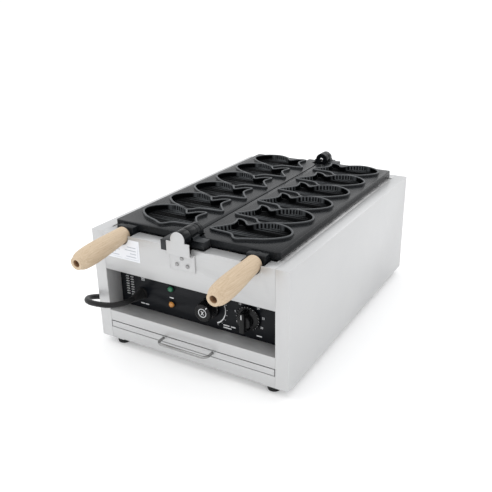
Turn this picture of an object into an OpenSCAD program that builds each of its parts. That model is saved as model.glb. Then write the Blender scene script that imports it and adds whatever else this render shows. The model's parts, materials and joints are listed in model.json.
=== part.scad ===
// Six-fish electric waffle machine: a sheet-steel cabinet, two hinged mould plates that fold
// either way over a common centre line, heating elements below them, a recessed control panel
// and a crumb tray. Frame: +X to the right, +Y to the back, +Z up, floor at Z = 0.

/* [Cabinet] */
// Width of the cabinet over its side panels
cab_w = 388; // [320:1:470]
// Depth of the cabinet from its front face to its back face
cab_d = 560; // [465:1:680]
// Height of the cabinet without its feet
cab_h = 211; // [175:1:260]
// Thickness of the stainless sheet
sheet_t = 1.2; // [0.8:0.1:1.5]
// Width of each corner post
post_w = 24; // [18:1:30]
// Height of the upper front panel
upper_h = 71; // [60:1:80]
// Height of the ledge below the controls
ledge_h = 57; // [50:1:66]
// Height of the bottom front rail
rail_h = 22; // [18:1:26]
// Depth of the recess that holds the controls
recess_d = 35; // [28:1:42]
// Depth of the front top flange
front_flange = 25; // [20:1:27]
// Depth of the rear top flange
rear_flange = 26; // [20:1:30]
// Height of the rubber feet
foot_h = 14; // [8:1:25]
// Diameter of the rubber feet
foot_d = 26; // [18:1:30]
// Distance of the feet's middles from the side faces
foot_side = 35; // [30:1:45]
// Distance of the feet's middles from the front and back faces
foot_end = 18; // [16:1:40]

/* [Mould plates] */
// Number of moulds on each plate
fish_n = 6; // [3:1:7]
// Thickness of the plate behind its face
plate_t = 13; // [10:0.5:18]
// Gap between a plate's outer edge and the cabinet's side flange
plate_side_gap = 7.5; // [4:0.5:10]
// Gap between the two plates on the centre line
plate_mid_gap = 2; // [1.4:0.1:4]
// Gap between the front flange and the plates' front edge
plate_front_gap = 3.5; // [2:0.5:6]
// Length of plate that rests on the rear flange
plate_rear_lap = 10; // [6:0.5:14]
// Depth of a mould below the rim's top
mould_depth = 19; // [12:0.5:24]
// Height of the mould's rim above the plate face
rim_h = 4.5; // [2:0.1:6]
// Width of the mould's rim
rim_w = 3.5; // [2:0.1:5]
// Metal around the mould below the plate
mould_wall = 3.5; // [3:0.1:6]
// Plate left between the rim and the outer edge of the plate
nose_margin = 13.5; // [6:0.5:18]
// Plate left between the tail and the centre edge of the plate
tail_margin = 11.5; // [8:0.5:20]
// Plate left in front of the first mould's row
front_margin = 18; // [14:0.5:25]
// Plate left behind the last mould's row
rear_margin = 10; // [8:0.5:20]

/* [Hinges and handles] */
// Diameter of the pivot pins
pin_d = 8; // [6:0.5:10]
// Running clearance on radius between pin and lug
pin_clear = 0.05; // [0.02:0.01:0.09]
// Radius of the hinge lugs
lug_r = 13.5; // [10:0.5:14]
// Distance that the hinge brackets stand out from the cabinet
hinge_out = 12; // [10:0.5:16]
// Thickness of the hinge brackets
bracket_t = 2; // [1.5:0.1:3]
// Depth of the corner cut-outs round the front pivot sleeve
front_cut = 18; // [10:0.5:19]
// Depth of the corner cut-outs in front of the rear lugs
rear_cut = 19; // [10:1:25]
// Distance of each handle's axis from its plate's outer edge
handle_in = 33.5; // [26:0.5:45]
// Length of the wooden handle
handle_l = 119; // [90:1:150]
// Largest radius of the wooden handle
handle_r = 17.5; // [14:0.5:20]
// Radius of the wooden handle at its neck
neck_r = 14; // [11:0.5:15]
// Angle of the handles below the horizontal
handle_tilt = 5.2; // [0:0.1:6]
// Diameter of the handle rod
rod_d = 8; // [6:0.5:10]

/* [Controls] */
// Distance of the cord gland left of the centre line
gland_x = 120; // [100:1:125]
// Distance of the lamps left of the centre line
lamp_x = 55; // [45:1:70]
// Distance between the two lamps
lamp_gap = 30; // [24:1:34]
// Distance of the thermostat knob right of the centre line
thermo_x = 27; // [15:1:35]
// Distance of the timer knob right of the centre line
timer_x = 103; // [90:1:115]
// Diameter of the thermostat knob
thermo_d = 37; // [30:1:42]
// Diameter of the timer knob
timer_d = 44; // [36:1:46]
// Diameter of the knob spindles
spindle_d = 6; // [5:0.5:8]

/* [Crumb tray] */
// Gap between the tray front and the parts above, below and beside it
tray_gap = 1.5; // [0.6:0.1:2]
// Gap between the tray's rear wall and the cabinet's back face
tray_rear_gap = 80; // [60:1:150]
// Height of the tray walls
tray_h = 11; // [8:0.5:12]
// Width of the wire handle
pull_w = 102; // [70:1:140]
// Distance that the wire handle stands out
pull_out = 20; // [15:1:30]
// Diameter of the wire
wire_d = 5; // [4:0.5:6]

/* [Heating] */
// Diameter of the tubular heating elements
elem_d = 8; // [6:0.5:10]
// Number of straight runs in each element
elem_n = 4; // [2:2:6]

/* [Cord] */
// Diameter of the supply cord
cord_d = 10; // [8:0.5:10]
// Mean radius of the stored coil
coil_r = 55; // [50:1:60]

/* [Hidden] */
$fn = 48;
half_w = cab_w / 2;
post_x = half_w - post_w;
// The handles' ends and the rear bracket are equally far from the origin
handle_face_gap = 11;
handle_end_r = handle_r - 6.5;
reach = handle_l * cos(handle_tilt) + handle_end_r * sin(handle_tilt) - handle_face_gap;
front_y = -(cab_d + reach + hinge_out) / 2 + reach;
back_y = front_y + cab_d;
base_z = foot_h;
top_z = foot_h + cab_h;
ledge_z = base_z + ledge_h;
rail_z = base_z + rail_h;
upper_z = top_z - upper_h;
panel_y = front_y + recess_d;
control_z = (ledge_z + upper_z) / 2 - 3;
gland_z = control_z - 8.5;
seam = 0.2;

bottom_flange = foot_side + 14;

// Plates: the underside sits a hair above the cabinet's top, the rims a hair below the axis
rest_gap = 0.3;
plate_z = top_z + rest_gap;
face_z = plate_z + plate_t;
rim_z = face_z + rim_h;
axis_z = rim_z + rest_gap;
plate_front = front_y + front_flange + plate_front_gap;
plate_back = back_y - rear_flange + plate_rear_lap;
plate_in = plate_mid_gap / 2;
plate_out = post_x - plate_side_gap;
corner_r = 6;
handle_x = plate_out - handle_in;
fish_pitch = (plate_back - plate_front - front_margin - rear_margin) / fish_n;
fish_tail = plate_in + tail_margin + rim_w / 2;
fish_nose = plate_out - nose_margin - rim_w / 2;
fish_l = fish_nose - fish_tail;
// Middle line of the rim, as shares of the fish's length and of the row pitch
fish_points = [[0, -0.25], [0.075, -0.11], [0.14, 0.03], [0.17, 0.13], [0.165, 0.265], [0.14, 0.42],
    [0.185, 0.445], [0.27, 0.375], [0.355, 0.225], [0.405, 0.29], [0.45, 0.4], [0.54, 0.49],
    [0.645, 0.55], [0.755, 0.535], [0.875, 0.45], [0.965, 0.3], [1, 0.14], [0.98, -0.01],
    [0.905, -0.165], [0.785, -0.32], [0.665, -0.405], [0.57, -0.465], [0.47, -0.55], [0.415, -0.52],
    [0.365, -0.42], [0.315, -0.365], [0.22, -0.34], [0.1, -0.325], [0.015, -0.3]];
fish_steps = 3;
// Depth reached by the back of the last mould
last_fish_y = plate_back - rear_margin + (0.56 - 0.5) * fish_pitch + rim_w / 2;

// Hinges
lug_gap = 1;
lug_clear = 1.5;
rear_knuckle = hinge_out - bracket_t + back_y - plate_back - lug_gap;
rear_lug = (rear_knuckle - lug_gap) / 2;
front_in = front_y - hinge_out + bracket_t;
rear_in = back_y + hinge_out - bracket_t;
front_lug_a = front_in + lug_gap;
front_lug = (plate_front - lug_gap / 2 - lug_gap - front_lug_a) / 2;
front_lug_b = front_lug_a + front_lug + lug_gap;
sleeve_y = [plate_front + lug_gap / 2, plate_front + front_cut - lug_clear];
rear_lug_a = rear_in - lug_gap - rear_lug;
rear_lug_b = rear_lug_a - lug_gap - rear_lug;
arm_w = 21;
arm_top = face_z - 0.5;
left_arm_drop = 5;
// Room beside the arms, which swing outwards a little as a plate starts to lift
arm_swing = 3;
arm_x0 = lug_r + lug_clear;
bracket_w = 50;
bracket_step_w = 45;
bracket_low = 39;
bracket_bend = 7;
rivet_d = 3.2;
rivet_head = 7;
rivet_dome_h = 2;
rivet_places = [[0, -17], [-10.5, -29], [10.5, -29]];
hole_clear = 0.05;

// Handles
neck_drop = 1.4;
neck_z = top_z - neck_drop;
neck_y = front_y + handle_face_gap;
tang_w = 34;
tang_swing = 4;
tang_start = 1.5;
notch_clear = 2;
bore_clear = 0.1;
rod_sink = 34;
end_hole_r = 6.2;
nut_t = 6;

// Controls
panel_t = 1.5;
panel_edge = 1;
panel_hidden = 8;
lamp_d = 12;
gland_d = 22;
boot_l = 24;
spindle_clear = 0.05;
knob_gap = 1.2;
knob_h = 25;
slot_w = 7.5;
slot_h = 2.4;
slot_pitch = 5;
slot_rows = 8;
slot_cols = [16.5, 27.2];
slot_low = 17;

// Heating bay
bay_z = upper_z + 12;
bay_front = front_y + front_flange + 1;
bay_side = post_x - 1.5;
bay_back = back_y - rear_flange - 1;
ledge_in = plate_out - 3;
elem_r = elem_d / 2;
elem_z = top_z - 23;
elem_pitch = (plate_out - plate_in - 50) / (elem_n - 1);
elem_x0 = plate_in + 25;
elem_bend_out = ceil(elem_pitch / 2 + elem_r);
elem_front = bay_front + elem_bend_out + 7;
elem_back = bay_back - elem_bend_out - 17;

// Thermostat bulb and the fine tube that feeds it through the floor of the bay
bulb_x = elem_x0 + elem_pitch / 2;
bulb_z = elem_z + 2;
feed_r = 1;
feed_y = panel_y + 18;
thermo_h = 34;
thermo_top = control_z + thermo_h / 2;
feed_x = thermo_x + 17;

// Tray
tray_x = post_x - 6;
tray_z = rail_z + tray_gap;
tray_t = 1;
tray_rear = back_y - tray_rear_gap;
pull_z = tray_z + tray_h - 3.5;
pull_r = 10;

// Cord route from the boot to the coil, and from the coil to the plug
cord_r = cord_d / 2;
cord_route = [
    [-120, -214, 101], [-120, -225.5, 101], [-123, -240.8, 101], [-131.7, -253.8, 100.5], [-144.7, -262.5, 100],
    [-160, -265.5, 99], [-175, -265.5, 97.5], [-190.3, -262.5, 95.5], [-203.3, -253.8, 92.5],
    [-212, -240.8, 88.5], [-215, -225.5, 83], [-215.5, -205, 74], [-216, -185, 63],
    [-216, -165, 51], [-216, -145, 39], [-216, -125, 28], [-216, -105, 18.5],
    [-216, -85, 11], [-215.5, -65, 6.5], [-215, -45, 5], [-215, -28, 5], [-215, -12.5, 5]];
cord_tail_route = [
    [-215, -12.5, 15], [-215.5, 8, 14], [-217, 28, 10.5], [-219, 48, 7.5],
    [-221, 66, 8.5], [-222.5, 84, 13], [-224, 102, 17]];
cord_sides = 10;
coil_at = [-280, -12.5];
coil_turn_w = 15;
coil_h = 20;
plug_at = [-224, 102, 17];
plug_r = 17;

// ---------- helpers ----------
module slab(x, y, z) translate([x[0], y[0], z[0]]) cube([x[1] - x[0], y[1] - y[0], z[1] - z[0]]);

// Cylinder along Y between two depths
module rod_y(x, z, y0, y1, r) translate([x, y0, z]) rotate([-90, 0, 0]) cylinder(r = r, h = y1 - y0);

// Mirrors the right-hand form for the left-hand piece
module on_side(s) mirror([s < 0 ? 1 : 0, 0, 0]) children();

function unit(v) = v / norm(v);
function heading(p, i) = unit(p[min(i + 1, len(p) - 1)] - p[max(i - 1, 0)]);
function ring_at(c, t, r, n) =
    let (s = unit(cross(t, [0, 0, 1])), u = cross(s, t))
    [for (k = [0 : n - 1]) c + r * (cos(360 * k / n) * s + sin(360 * k / n) * u)];

// Round tube swept along a list of points
module tube(p, r, n) {
    last = len(p) - 1;
    rings = [for (i = [0 : last]) each ring_at(p[i], heading(p, i), r, n)];
    walls = [for (i = [0 : last - 1], k = [0 : n - 1])
        [i * n + k, i * n + (k + 1) % n, (i + 1) * n + (k + 1) % n, (i + 1) * n + k]];
    near = [for (k = [n - 1 : -1 : 0]) k];
    far = [for (k = [0 : n - 1]) last * n + k];
    polyhedron(points = rings, faces = concat([near], walls, [far]));
}

// ---------- cabinet ----------
module side_panel(s) on_side(s) {
    slab([half_w - sheet_t, half_w], [front_y, back_y], [base_z, top_z]);
    slab([post_x, half_w], [front_y, front_y + sheet_t], [base_z, top_z]);
    slab([post_x, half_w], [back_y - sheet_t, back_y], [base_z, top_z]);
    slab([post_x, half_w], [front_y, back_y], [top_z - sheet_t, top_z]);
    difference() {
        slab([half_w - bottom_flange, half_w], [front_y, back_y], [base_z, base_z + sheet_t]);
        foot_holes();
    }
}

module foot_places() for (x = [-1, 1], y = [front_y + foot_end, back_y - foot_end])
    translate([x * (half_w - foot_side), y, 0]) children();

module foot_holes() foot_places() translate([0, 0, base_z - 1]) cylinder(r = 2.6, h = 4 * sheet_t);

module left_side_panel() color("#dcdcda") side_panel(-1);
module right_side_panel() color("#dcdcda") side_panel(1);

// Opening in the top flange and round notch in the face for one handle neck
module handle_cut() {
    cut_w = tang_w + 2 * tang_swing;
    slab([handle_x - cut_w / 2, handle_x + cut_w / 2],
        [front_y + sheet_t, front_y + front_flange + 1], [top_z - 2 * sheet_t, top_z + 1]);
    neck_notch(notch_clear);
}

// Round-bottomed notch through the front face, clear of the handle's neck
module neck_notch(clear) {
    z = neck_z - handle_face_gap * tan(handle_tilt);
    rod_y(handle_x, z, front_y - 1, front_y + 2 * sheet_t, neck_r + clear);
    slab([handle_x - neck_r - clear, handle_x + neck_r + clear],
        [front_y - 1, front_y + 2 * sheet_t], [z, top_z + 1]);
}

module rivet_holes(y0, y1, r) for (p = rivet_places) rod_y(p[0], top_z + p[1], y0, y1, r);

module front_upper_panel() color("#e4e4e2") difference() {
    x = [-post_x + seam, post_x - seam];
    arm_x = lug_r + lug_clear + arm_w;
    strip = 5;
    union() {
        slab(x, [front_y, front_y + sheet_t], [upper_z, top_z]);
        slab(x, [front_y, front_y + front_flange], [top_z - sheet_t, top_z]);
        slab(x, [front_y, panel_y], [upper_z, upper_z + sheet_t]);
    }
    for (s = [-1, 1]) on_side(s) handle_cut();
    slab([-arm_x - arm_swing, bracket_step_w / 2 - 5], [front_y - 1, front_y + front_flange + 1],
        [top_z - left_arm_drop - 1, top_z + 1]);
    slab([-arm_x - arm_swing, arm_x + arm_swing], [front_y + strip, front_y + front_flange + 1],
        [top_z - 2 * sheet_t, top_z + 1]);
    rivet_holes(front_y - 1, front_y + 3, rivet_d / 2 + hole_clear);
}

module lower_front_panel() color("#dededc") {
    x = [-post_x + seam, post_x - seam];
    z0 = tray_z + tray_h + tray_gap;
    slab(x, [front_y, front_y + sheet_t], [z0, ledge_z]);
    slab(x, [front_y, panel_y], [ledge_z - sheet_t, ledge_z]);
    slab(x, [front_y, front_y + 12], [z0, z0 + sheet_t]);
}

module bottom_front_rail() color("#dededc") {
    x = [-post_x + seam, post_x - seam];
    slab(x, [front_y, front_y + sheet_t], [base_z + sheet_t, rail_z]);
    slab(x, [front_y, front_y + 12], [rail_z - sheet_t, rail_z]);
}

module rear_panel() color("#d4d4d2") difference() {
    x = [-post_x + seam, post_x - seam];
    vent_l = 40;
    union() {
        slab(x, [back_y - sheet_t, back_y], [base_z + sheet_t, top_z]);
        slab(x, [back_y - rear_flange, back_y], [top_z - sheet_t, top_z]);
    }
    for (side = [-1, 1], k = [0 : 4])
        slab([side * 80 - vent_l / 2, side * 80 + vent_l / 2], [back_y - 3, back_y + 1],
            [ledge_z + k * 9, ledge_z + k * 9 + 3]);
    // Room in the flange for the last mould of each plate
    for (s = [-1, 1]) on_side(s)
        slab([fish_tail + 0.3 * fish_l, fish_nose + rim_w], [back_y - rear_flange - 1, last_fish_y + 1.5],
            [top_z - 2 * sheet_t, top_z + 1]);
    rivet_holes(back_y - 3, back_y + 1, rivet_d / 2 + hole_clear);
    rear_screw_places() rod_y(0, 0, -3, 1, 1.6);
}

module rear_screw_places() for (x = [-1, 1], z = [base_z + 22, (base_z + top_z) / 2, top_z - 22])
    translate([x * (post_x - 7), back_y, z]) children();

module rear_panel_screws() color("#c8c8c6") rear_screw_places() {
    rod_y(0, 0, -5, 0, 1.5);
    rod_y(0, 0, 0, 1.6, 3.2);
}

// Floor of the cabinet, between the side panels' bottom flanges
module base_pan() color("#c9c9c7") difference() {
    slab([-half_w + bottom_flange + seam, half_w - bottom_flange - seam], [front_y + sheet_t + seam, back_y - sheet_t - seam],
        [base_z, base_z + sheet_t]);
    for (k = [0 : 5]) slab([-70, 70], [back_y - 180 + k * 14, back_y - 176 + k * 14],
        [base_z - 1, base_z + 2 * sheet_t]);
}

module recess_cheeks() color("#c4c4c2") for (s = [-1, 1]) on_side(s)
    slab([post_x, post_x + sheet_t], [front_y + sheet_t, panel_y + panel_t],
        [ledge_z - panel_hidden, upper_z + panel_hidden]);

module control_panel() color("#17181a") difference() {
    slab([-post_x + panel_edge, post_x - panel_edge], [panel_y, panel_y + panel_t],
        [ledge_z - panel_hidden, upper_z + panel_hidden]);
    for (x = slot_cols, k = [0 : slot_rows - 1]) {
        z = control_z - slot_low + k * slot_pitch;
        slab([x - post_x - slot_w / 2, x - post_x + slot_w / 2], [panel_y - 1, panel_y + panel_t + 1],
            [z, z + slot_h]);
    }
    for (x = [thermo_x, timer_x]) rod_y(x, control_z, panel_y - 1, panel_y + 3, 5.1);
    for (k = [-1, 1]) rod_y(-lamp_x, control_z + k * lamp_gap / 2, panel_y - 1, panel_y + 3,
        lamp_d / 2 - 1);
    rod_y(-gland_x, gland_z, panel_y - 1, panel_y + 3, 8.05);
}

module blank_label() color("#eef0f2") difference() {
    slab([-post_x + 5, -post_x + 80], [front_y - 0.3, front_y], [upper_z + 26, top_z - 6]);
    on_side(-1) neck_notch(notch_clear + 1);
}

module rubber_feet() color("#1b1b1c") foot_places() difference() {
    union() {
        cylinder(r1 = foot_d / 2 - 2, r2 = foot_d / 2, h = foot_h * 0.7);
        translate([0, 0, foot_h * 0.7]) cylinder(r = foot_d / 2, h = foot_h * 0.3);
    }
    translate([0, 0, -1]) cylinder(r = 4.6, h = 6);
    translate([0, 0, 4]) cylinder(r = 2.1, h = foot_h);
}

module foot_screws() color("#b8b8b6") foot_places() {
    translate([0, 0, 2]) cylinder(r = 4, h = 3);
    translate([0, 0, 5]) cylinder(r = 2, h = foot_h - 5 + sheet_t);
    translate([0, 0, foot_h + sheet_t]) cylinder(r = 4, h = 3.2, $fn = 6);
}

// ---------- heating bay ----------
module heater_bay() color("#9a9a98") {
    wall_top = top_z - 22;
    difference() {
        slab([-bay_side, bay_side], [bay_front, bay_back], [bay_z, bay_z + sheet_t]);
        translate([feed_x, feed_y, bay_z - 1]) cylinder(r = feed_r + 0.5, h = 4 * sheet_t);
    }
    for (x = [-bay_side, bay_side - sheet_t])
        slab([x, x + sheet_t], [bay_front, bay_back], [bay_z, top_z - 2 * sheet_t - seam]);
    difference() {
        slab([-bay_side, bay_side], [bay_front, bay_front + sheet_t], [bay_z, wall_top]);
        for (s = [-1, 1], k = [0, elem_n - 1])
            rod_y(s * (elem_x0 + k * elem_pitch), elem_z, bay_front - 1, bay_front + 3, elem_r + 0.1);
    }
    slab([-bay_side, bay_side], [bay_back - sheet_t, bay_back], [bay_z, wall_top + 12]);
}

module plate_ledge(s) color("#a8a8a6") on_side(s) {
    slab([ledge_in, post_x - seam], [bay_front, bay_back], [top_z - 2 * sheet_t, top_z - sheet_t]);
    slab([ledge_in, ledge_in + sheet_t], [bay_front, bay_back], [top_z - 2 * sheet_t, top_z]);
}
module left_plate_ledge() plate_ledge(-1);
module right_plate_ledge() plate_ledge(1);

module element_supports() color("#8f8f8d") for (s = [-1, 1], y = [elem_front + 40, elem_back - 40])
    on_side(s) difference() {
        slab([elem_x0 - 12, elem_x0 + (elem_n - 1) * elem_pitch + 12], [y, y + 2],
            [bay_z + sheet_t, elem_z]);
        for (k = [0 : elem_n - 1]) rod_y(elem_x0 + k * elem_pitch, elem_z, y - 1, y + 3, elem_r + 0.1);
    }

// Serpentine tube: straight runs joined by half-round bends, both ends at the front
module heating_element(s) color("#5d5a57") on_side(s) {
    terminal = bay_front - 10;
    for (k = [0 : elem_n - 1]) {
        x = elem_x0 + k * elem_pitch;
        outer = k == 0 || k == elem_n - 1;
        rod_y(x, elem_z, outer ? terminal : elem_front, elem_back, elem_r);
        if (outer) rod_y(x, elem_z, terminal - 10, terminal, elem_r * 0.45);
    }
    for (k = [0 : elem_n - 2]) {
        back_bend = k % 2 == 0;
        translate([elem_x0 + (k + 0.5) * elem_pitch, back_bend ? elem_back : elem_front, elem_z])
            rotate([0, 0, back_bend ? 0 : 180])
                rotate_extrude(angle = 180) translate([elem_pitch / 2, 0]) circle(r = elem_r);
    }
}
module left_heating_element() heating_element(-1);
module right_heating_element() heating_element(1);

// ---------- hinges ----------
// Joggled bracket seen from outside: y0 is the cabinet face and out points away from it
module hinge_bracket(y0, out) {
    y_low = out < 0 ? [y0 - bracket_t, y0] : [y0, y0 + bracket_t];
    y_up = out < 0 ? [y0 - hinge_out, y0 - hinge_out + bracket_t]
        : [y0 + hinge_out - bracket_t, y0 + hinge_out];
    y_bend = out < 0 ? [y0 - hinge_out, y0] : [y0, y0 + hinge_out];
    bend_z = top_z - bracket_bend;
    difference() {
        union() {
            slab([-bracket_w / 2, bracket_w / 2], y_low, [top_z - bracket_low, bend_z]);
            slab([-bracket_w / 2, bracket_w / 2], y_bend, [bend_z - bracket_t, bend_z]);
            slab([-bracket_step_w / 2, bracket_step_w / 2], y_up, [bend_z - bracket_t, axis_z - 4]);
            rod_y(0, axis_z, y_up[0], y_up[1], lug_r);
        }
        rivet_holes(y0 - 3, y0 + 3, rivet_d / 2 + hole_clear);
    }
}
module front_hinge_bracket() color("#d9d9d7") hinge_bracket(front_y, -1);
module rear_hinge_bracket() color("#d9d9d7") hinge_bracket(back_y, 1);

module front_pivot_pin() color("#e6e6e4")
    rod_y(0, axis_z, front_in, sleeve_y[1] + 1, pin_d / 2);
module front_pivot_sleeve() color("#2a2b2d") difference() {
    rod_y(0, axis_z, sleeve_y[0], sleeve_y[1], lug_r);
    rod_y(0, axis_z, sleeve_y[0] - 1, sleeve_y[1] + 1, pin_d / 2 + pin_clear);
}
module rear_pivot_pin() color("#e6e6e4") rod_y(0, axis_z, rear_lug_b - 1, rear_in, pin_d / 2);

module bracket_rivets() color("#e8e8e6") for (p = rivet_places) {
    z = top_z + p[1];
    rod_y(p[0], z, front_y - bracket_t, front_y + sheet_t, rivet_d / 2);
    rod_y(p[0], z, front_y + sheet_t, front_y + sheet_t + 1.5, rivet_head / 2);
    translate([p[0], front_y - bracket_t, z]) rotate([90, 0, 0]) rivet_dome();
    rod_y(p[0], z, back_y - sheet_t, back_y + bracket_t, rivet_d / 2);
    rod_y(p[0], z, back_y - sheet_t - 1.5, back_y - sheet_t, rivet_head / 2);
    translate([p[0], back_y + bracket_t, z]) rotate([-90, 0, 0]) rivet_dome();
}
module rivet_dome() {
    r = (rivet_head * rivet_head / 4 + rivet_dome_h * rivet_dome_h) / (2 * rivet_dome_h);
    rotate_extrude() intersection() {
        translate([0, rivet_dome_h - r]) circle(r = r);
        square([rivet_head / 2, rivet_dome_h + 1]);
    }
}

// ---------- mould plates ----------
// Point of a smooth closed curve, at share t of the way from point i to the next one
function on_curve(p, i, t) =
    let (n = len(p), a = p[(i + n - 1) % n], b = p[i], c = p[(i + 1) % n], d = p[(i + 2) % n])
    (2 * b + (c - a) * t + (2 * a - 5 * b + 4 * c - d) * t * t + (3 * b - a - 3 * c + d) * t * t * t) / 2;
function smooth(p, steps) = [for (i = [0 : len(p) - 1], k = [0 : steps - 1]) on_curve(p, i, k / steps)];

// Plan of one fish: the rim's middle line moved outwards by g, tail at the centre line. Points that
// end up too near the line, in the loop that an offset makes at a sharp tip, are left out
module fish_plan(g) {
    line = smooth([for (p = fish_points) [fish_tail + fish_l * p[0], fish_pitch * p[1]]], fish_steps);
    n = len(line);
    moved = [for (i = [0 : n - 1]) let (t = unit(line[(i + 1) % n] - line[(i + n - 1) % n]))
        line[i] + g * [-t[1], t[0]]];
    polygon([for (q = moved) if (min([for (p = line) norm(q - p)]) > abs(g) * 0.97) q]);
}

module each_fish() for (k = [0 : fish_n - 1])
    translate([0, plate_front + front_margin + (k + 0.5) * fish_pitch, 0]) children();

// Plate outline with round corners on its outer side
module plate_plan() difference() {
    union() {
        translate([plate_in, plate_front]) square([plate_out - corner_r - plate_in, plate_back - plate_front]);
        translate([plate_in, plate_front + corner_r])
            square([plate_out - plate_in, plate_back - plate_front - 2 * corner_r]);
        for (y = [plate_front + corner_r, plate_back - corner_r])
            translate([plate_out - corner_r, y]) circle(r = corner_r);
    }
    translate([0, plate_back - rear_cut]) square([arm_x0, rear_cut + 1]);
    translate([0, plate_front - 1]) square([arm_x0, front_cut + 1]);
}

// Lug round the pin, with the block that joins it to the arm beside it; right-hand form
module lug(y, low) difference() {
    union() {
        rod_y(0, axis_z, y[0], y[1], lug_r);
        slab([0, arm_x0 + 1], y, [low, axis_z - rest_gap]);
        children();
    }
    rod_y(0, axis_z, y[0] - 1, y[1] + 1, pin_d / 2 + pin_clear);
}

// Front and rear hinge arms of one plate: the left lugs are the outer pair
module hinge_arms(s) color("#242527") on_side(s) {
    left = s < 0;
    y_front = left ? [front_lug_a, front_lug_a + front_lug] : [front_lug_b, front_lug_b + front_lug];
    y_rear = left ? [rear_lug_b, rear_lug_b + rear_lug] : [rear_lug_a, rear_lug_a + rear_lug];
    low = left ? top_z - left_arm_drop : plate_z;
    lug(y_front, low) slab([arm_x0, arm_x0 + arm_w], [y_front[0], plate_front], [low, arm_top]);
    lug(y_rear, plate_z) slab([arm_x0, arm_x0 + arm_w], [plate_back, y_rear[1]], [plate_z, arm_top]);
}
module left_hinge_arms() hinge_arms(-1);
module right_hinge_arms() hinge_arms(1);

module handle_axis() translate([handle_x, neck_y, neck_z]) rotate([90 + handle_tilt, 0, 0]) children();

module tang() {
    body_low = neck_z - neck_r + 1;
    difference() {
        union() {
            slab([handle_x - tang_w / 2, handle_x + tang_w / 2],
                [neck_y + tang_start, plate_front + 4], [body_low, face_z - 4]);
            handle_axis() translate([0, 0, -14]) cylinder(r = neck_r - 0.5, h = 14);
        }
        handle_axis() translate([0, 0, -30]) cylinder(r = rod_d / 2 + hole_clear, h = 40);
    }
}

module mould_plate(s) color("#2b2c2e") on_side(s) difference() {
    union() {
        translate([0, 0, plate_z]) linear_extrude(plate_t) plate_plan();
        each_fish() translate([0, 0, rim_z - mould_depth - mould_wall])
            linear_extrude(mould_depth + mould_wall) fish_plan(rim_w / 2);
        tang();
    }
    each_fish() translate([0, 0, rim_z - mould_depth]) linear_extrude(mould_depth + 1) fish_plan(-rim_w / 2);
}
module left_mould_plate() mould_plate(-1);
module right_mould_plate() mould_plate(1);

module wooden_handle(s) color("#d8bf97") on_side(s) handle_axis() difference() {
    rotate_extrude() polygon([[0, 0], [neck_r - 2.5, 0], [neck_r - 0.7, 1], [neck_r, 3],
        [neck_r + 0.8, 22], [handle_r - 1.2, handle_l * 0.45], [handle_r, handle_l * 0.68],
        [handle_r - 0.2, handle_l * 0.84], [handle_r - 1.5, handle_l - 6],
        [handle_r - 4.5, handle_l - 1.2], [handle_end_r, handle_l], [0, handle_l]]);
    translate([0, 0, -1]) cylinder(r = rod_d / 2 + bore_clear, h = handle_l);
    translate([0, 0, handle_l - rod_sink]) cylinder(r = end_hole_r, h = rod_sink + 1);
}
module left_handle() wooden_handle(-1);
module right_handle() wooden_handle(1);

module handle_rod(s) color("#bdbdbb") on_side(s) handle_axis()
    translate([0, 0, -13]) cylinder(r = rod_d / 2, h = 13 + handle_l - rod_sink + nut_t + 1);
module left_handle_rod() handle_rod(-1);
module right_handle_rod() handle_rod(1);

module handle_nut(s) color("#bdbdbb") on_side(s) handle_axis() translate([0, 0, handle_l - rod_sink])
    difference() {
        cylinder(r = end_hole_r - 0.3, h = nut_t, $fn = 6);
        translate([0, 0, -1]) cylinder(r = rod_d / 2 + hole_clear, h = nut_t + 2);
    }
module left_handle_nut() handle_nut(-1);
module right_handle_nut() handle_nut(1);

// ---------- crumb tray ----------
module crumb_tray() color("#d0d0ce") difference() {
    union() {
        slab([-post_x + tray_gap, post_x - tray_gap], [front_y, front_y + sheet_t],
            [tray_z, tray_z + tray_h]);
        slab([-tray_x, tray_x], [front_y + sheet_t, tray_rear], [tray_z, tray_z + tray_t]);
        for (x = [-tray_x, tray_x - tray_t])
            slab([x, x + tray_t], [front_y + sheet_t, tray_rear], [tray_z, tray_z + tray_h - 1]);
        slab([-tray_x, tray_x], [tray_rear - tray_t, tray_rear], [tray_z, tray_z + tray_h - 1]);
    }
    for (s = [-1, 1]) rod_y(s * pull_w / 2, pull_z, front_y - 1, front_y + 3, wire_d / 2 + hole_clear);
}

module tray_pull() color("#dadad8") {
    r = wire_d / 2;
    y_bar = front_y - pull_out;
    for (s = [-1, 1]) {
        rod_y(s * pull_w / 2, pull_z, y_bar + pull_r, front_y + sheet_t + 4, r);
        translate([s * (pull_w / 2 - pull_r), y_bar + pull_r, pull_z])
            rotate([0, 0, s > 0 ? -90 : 180]) rotate_extrude(angle = 90) translate([pull_r, 0]) circle(r = r);
    }
    translate([-pull_w / 2 + pull_r, y_bar, pull_z]) rotate([0, 90, 0])
        cylinder(r = r, h = pull_w - 2 * pull_r);
}

module tray_pull_nuts() color("#b8b8b6") for (s = [-1, 1])
    translate([s * pull_w / 2, front_y + sheet_t, pull_z]) rotate([-90, 0, 0]) difference() {
        cylinder(r = 3.4, h = 3, $fn = 6);
        translate([0, 0, -1]) cylinder(r = wire_d / 2 + hole_clear, h = 5);
    }

module tray_runners() color("#b4b4b2") for (s = [-1, 1]) on_side(s) {
    z0 = tray_z - rest_gap - sheet_t;
    slab([tray_x - 14, half_w - sheet_t - seam], [panel_y + 4, tray_rear + 12], [z0, z0 + sheet_t]);
    slab([tray_x + 1, tray_x + 1 + sheet_t], [panel_y + 4, tray_rear + 12], [z0, tray_z + tray_h + 4]);
}

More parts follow.
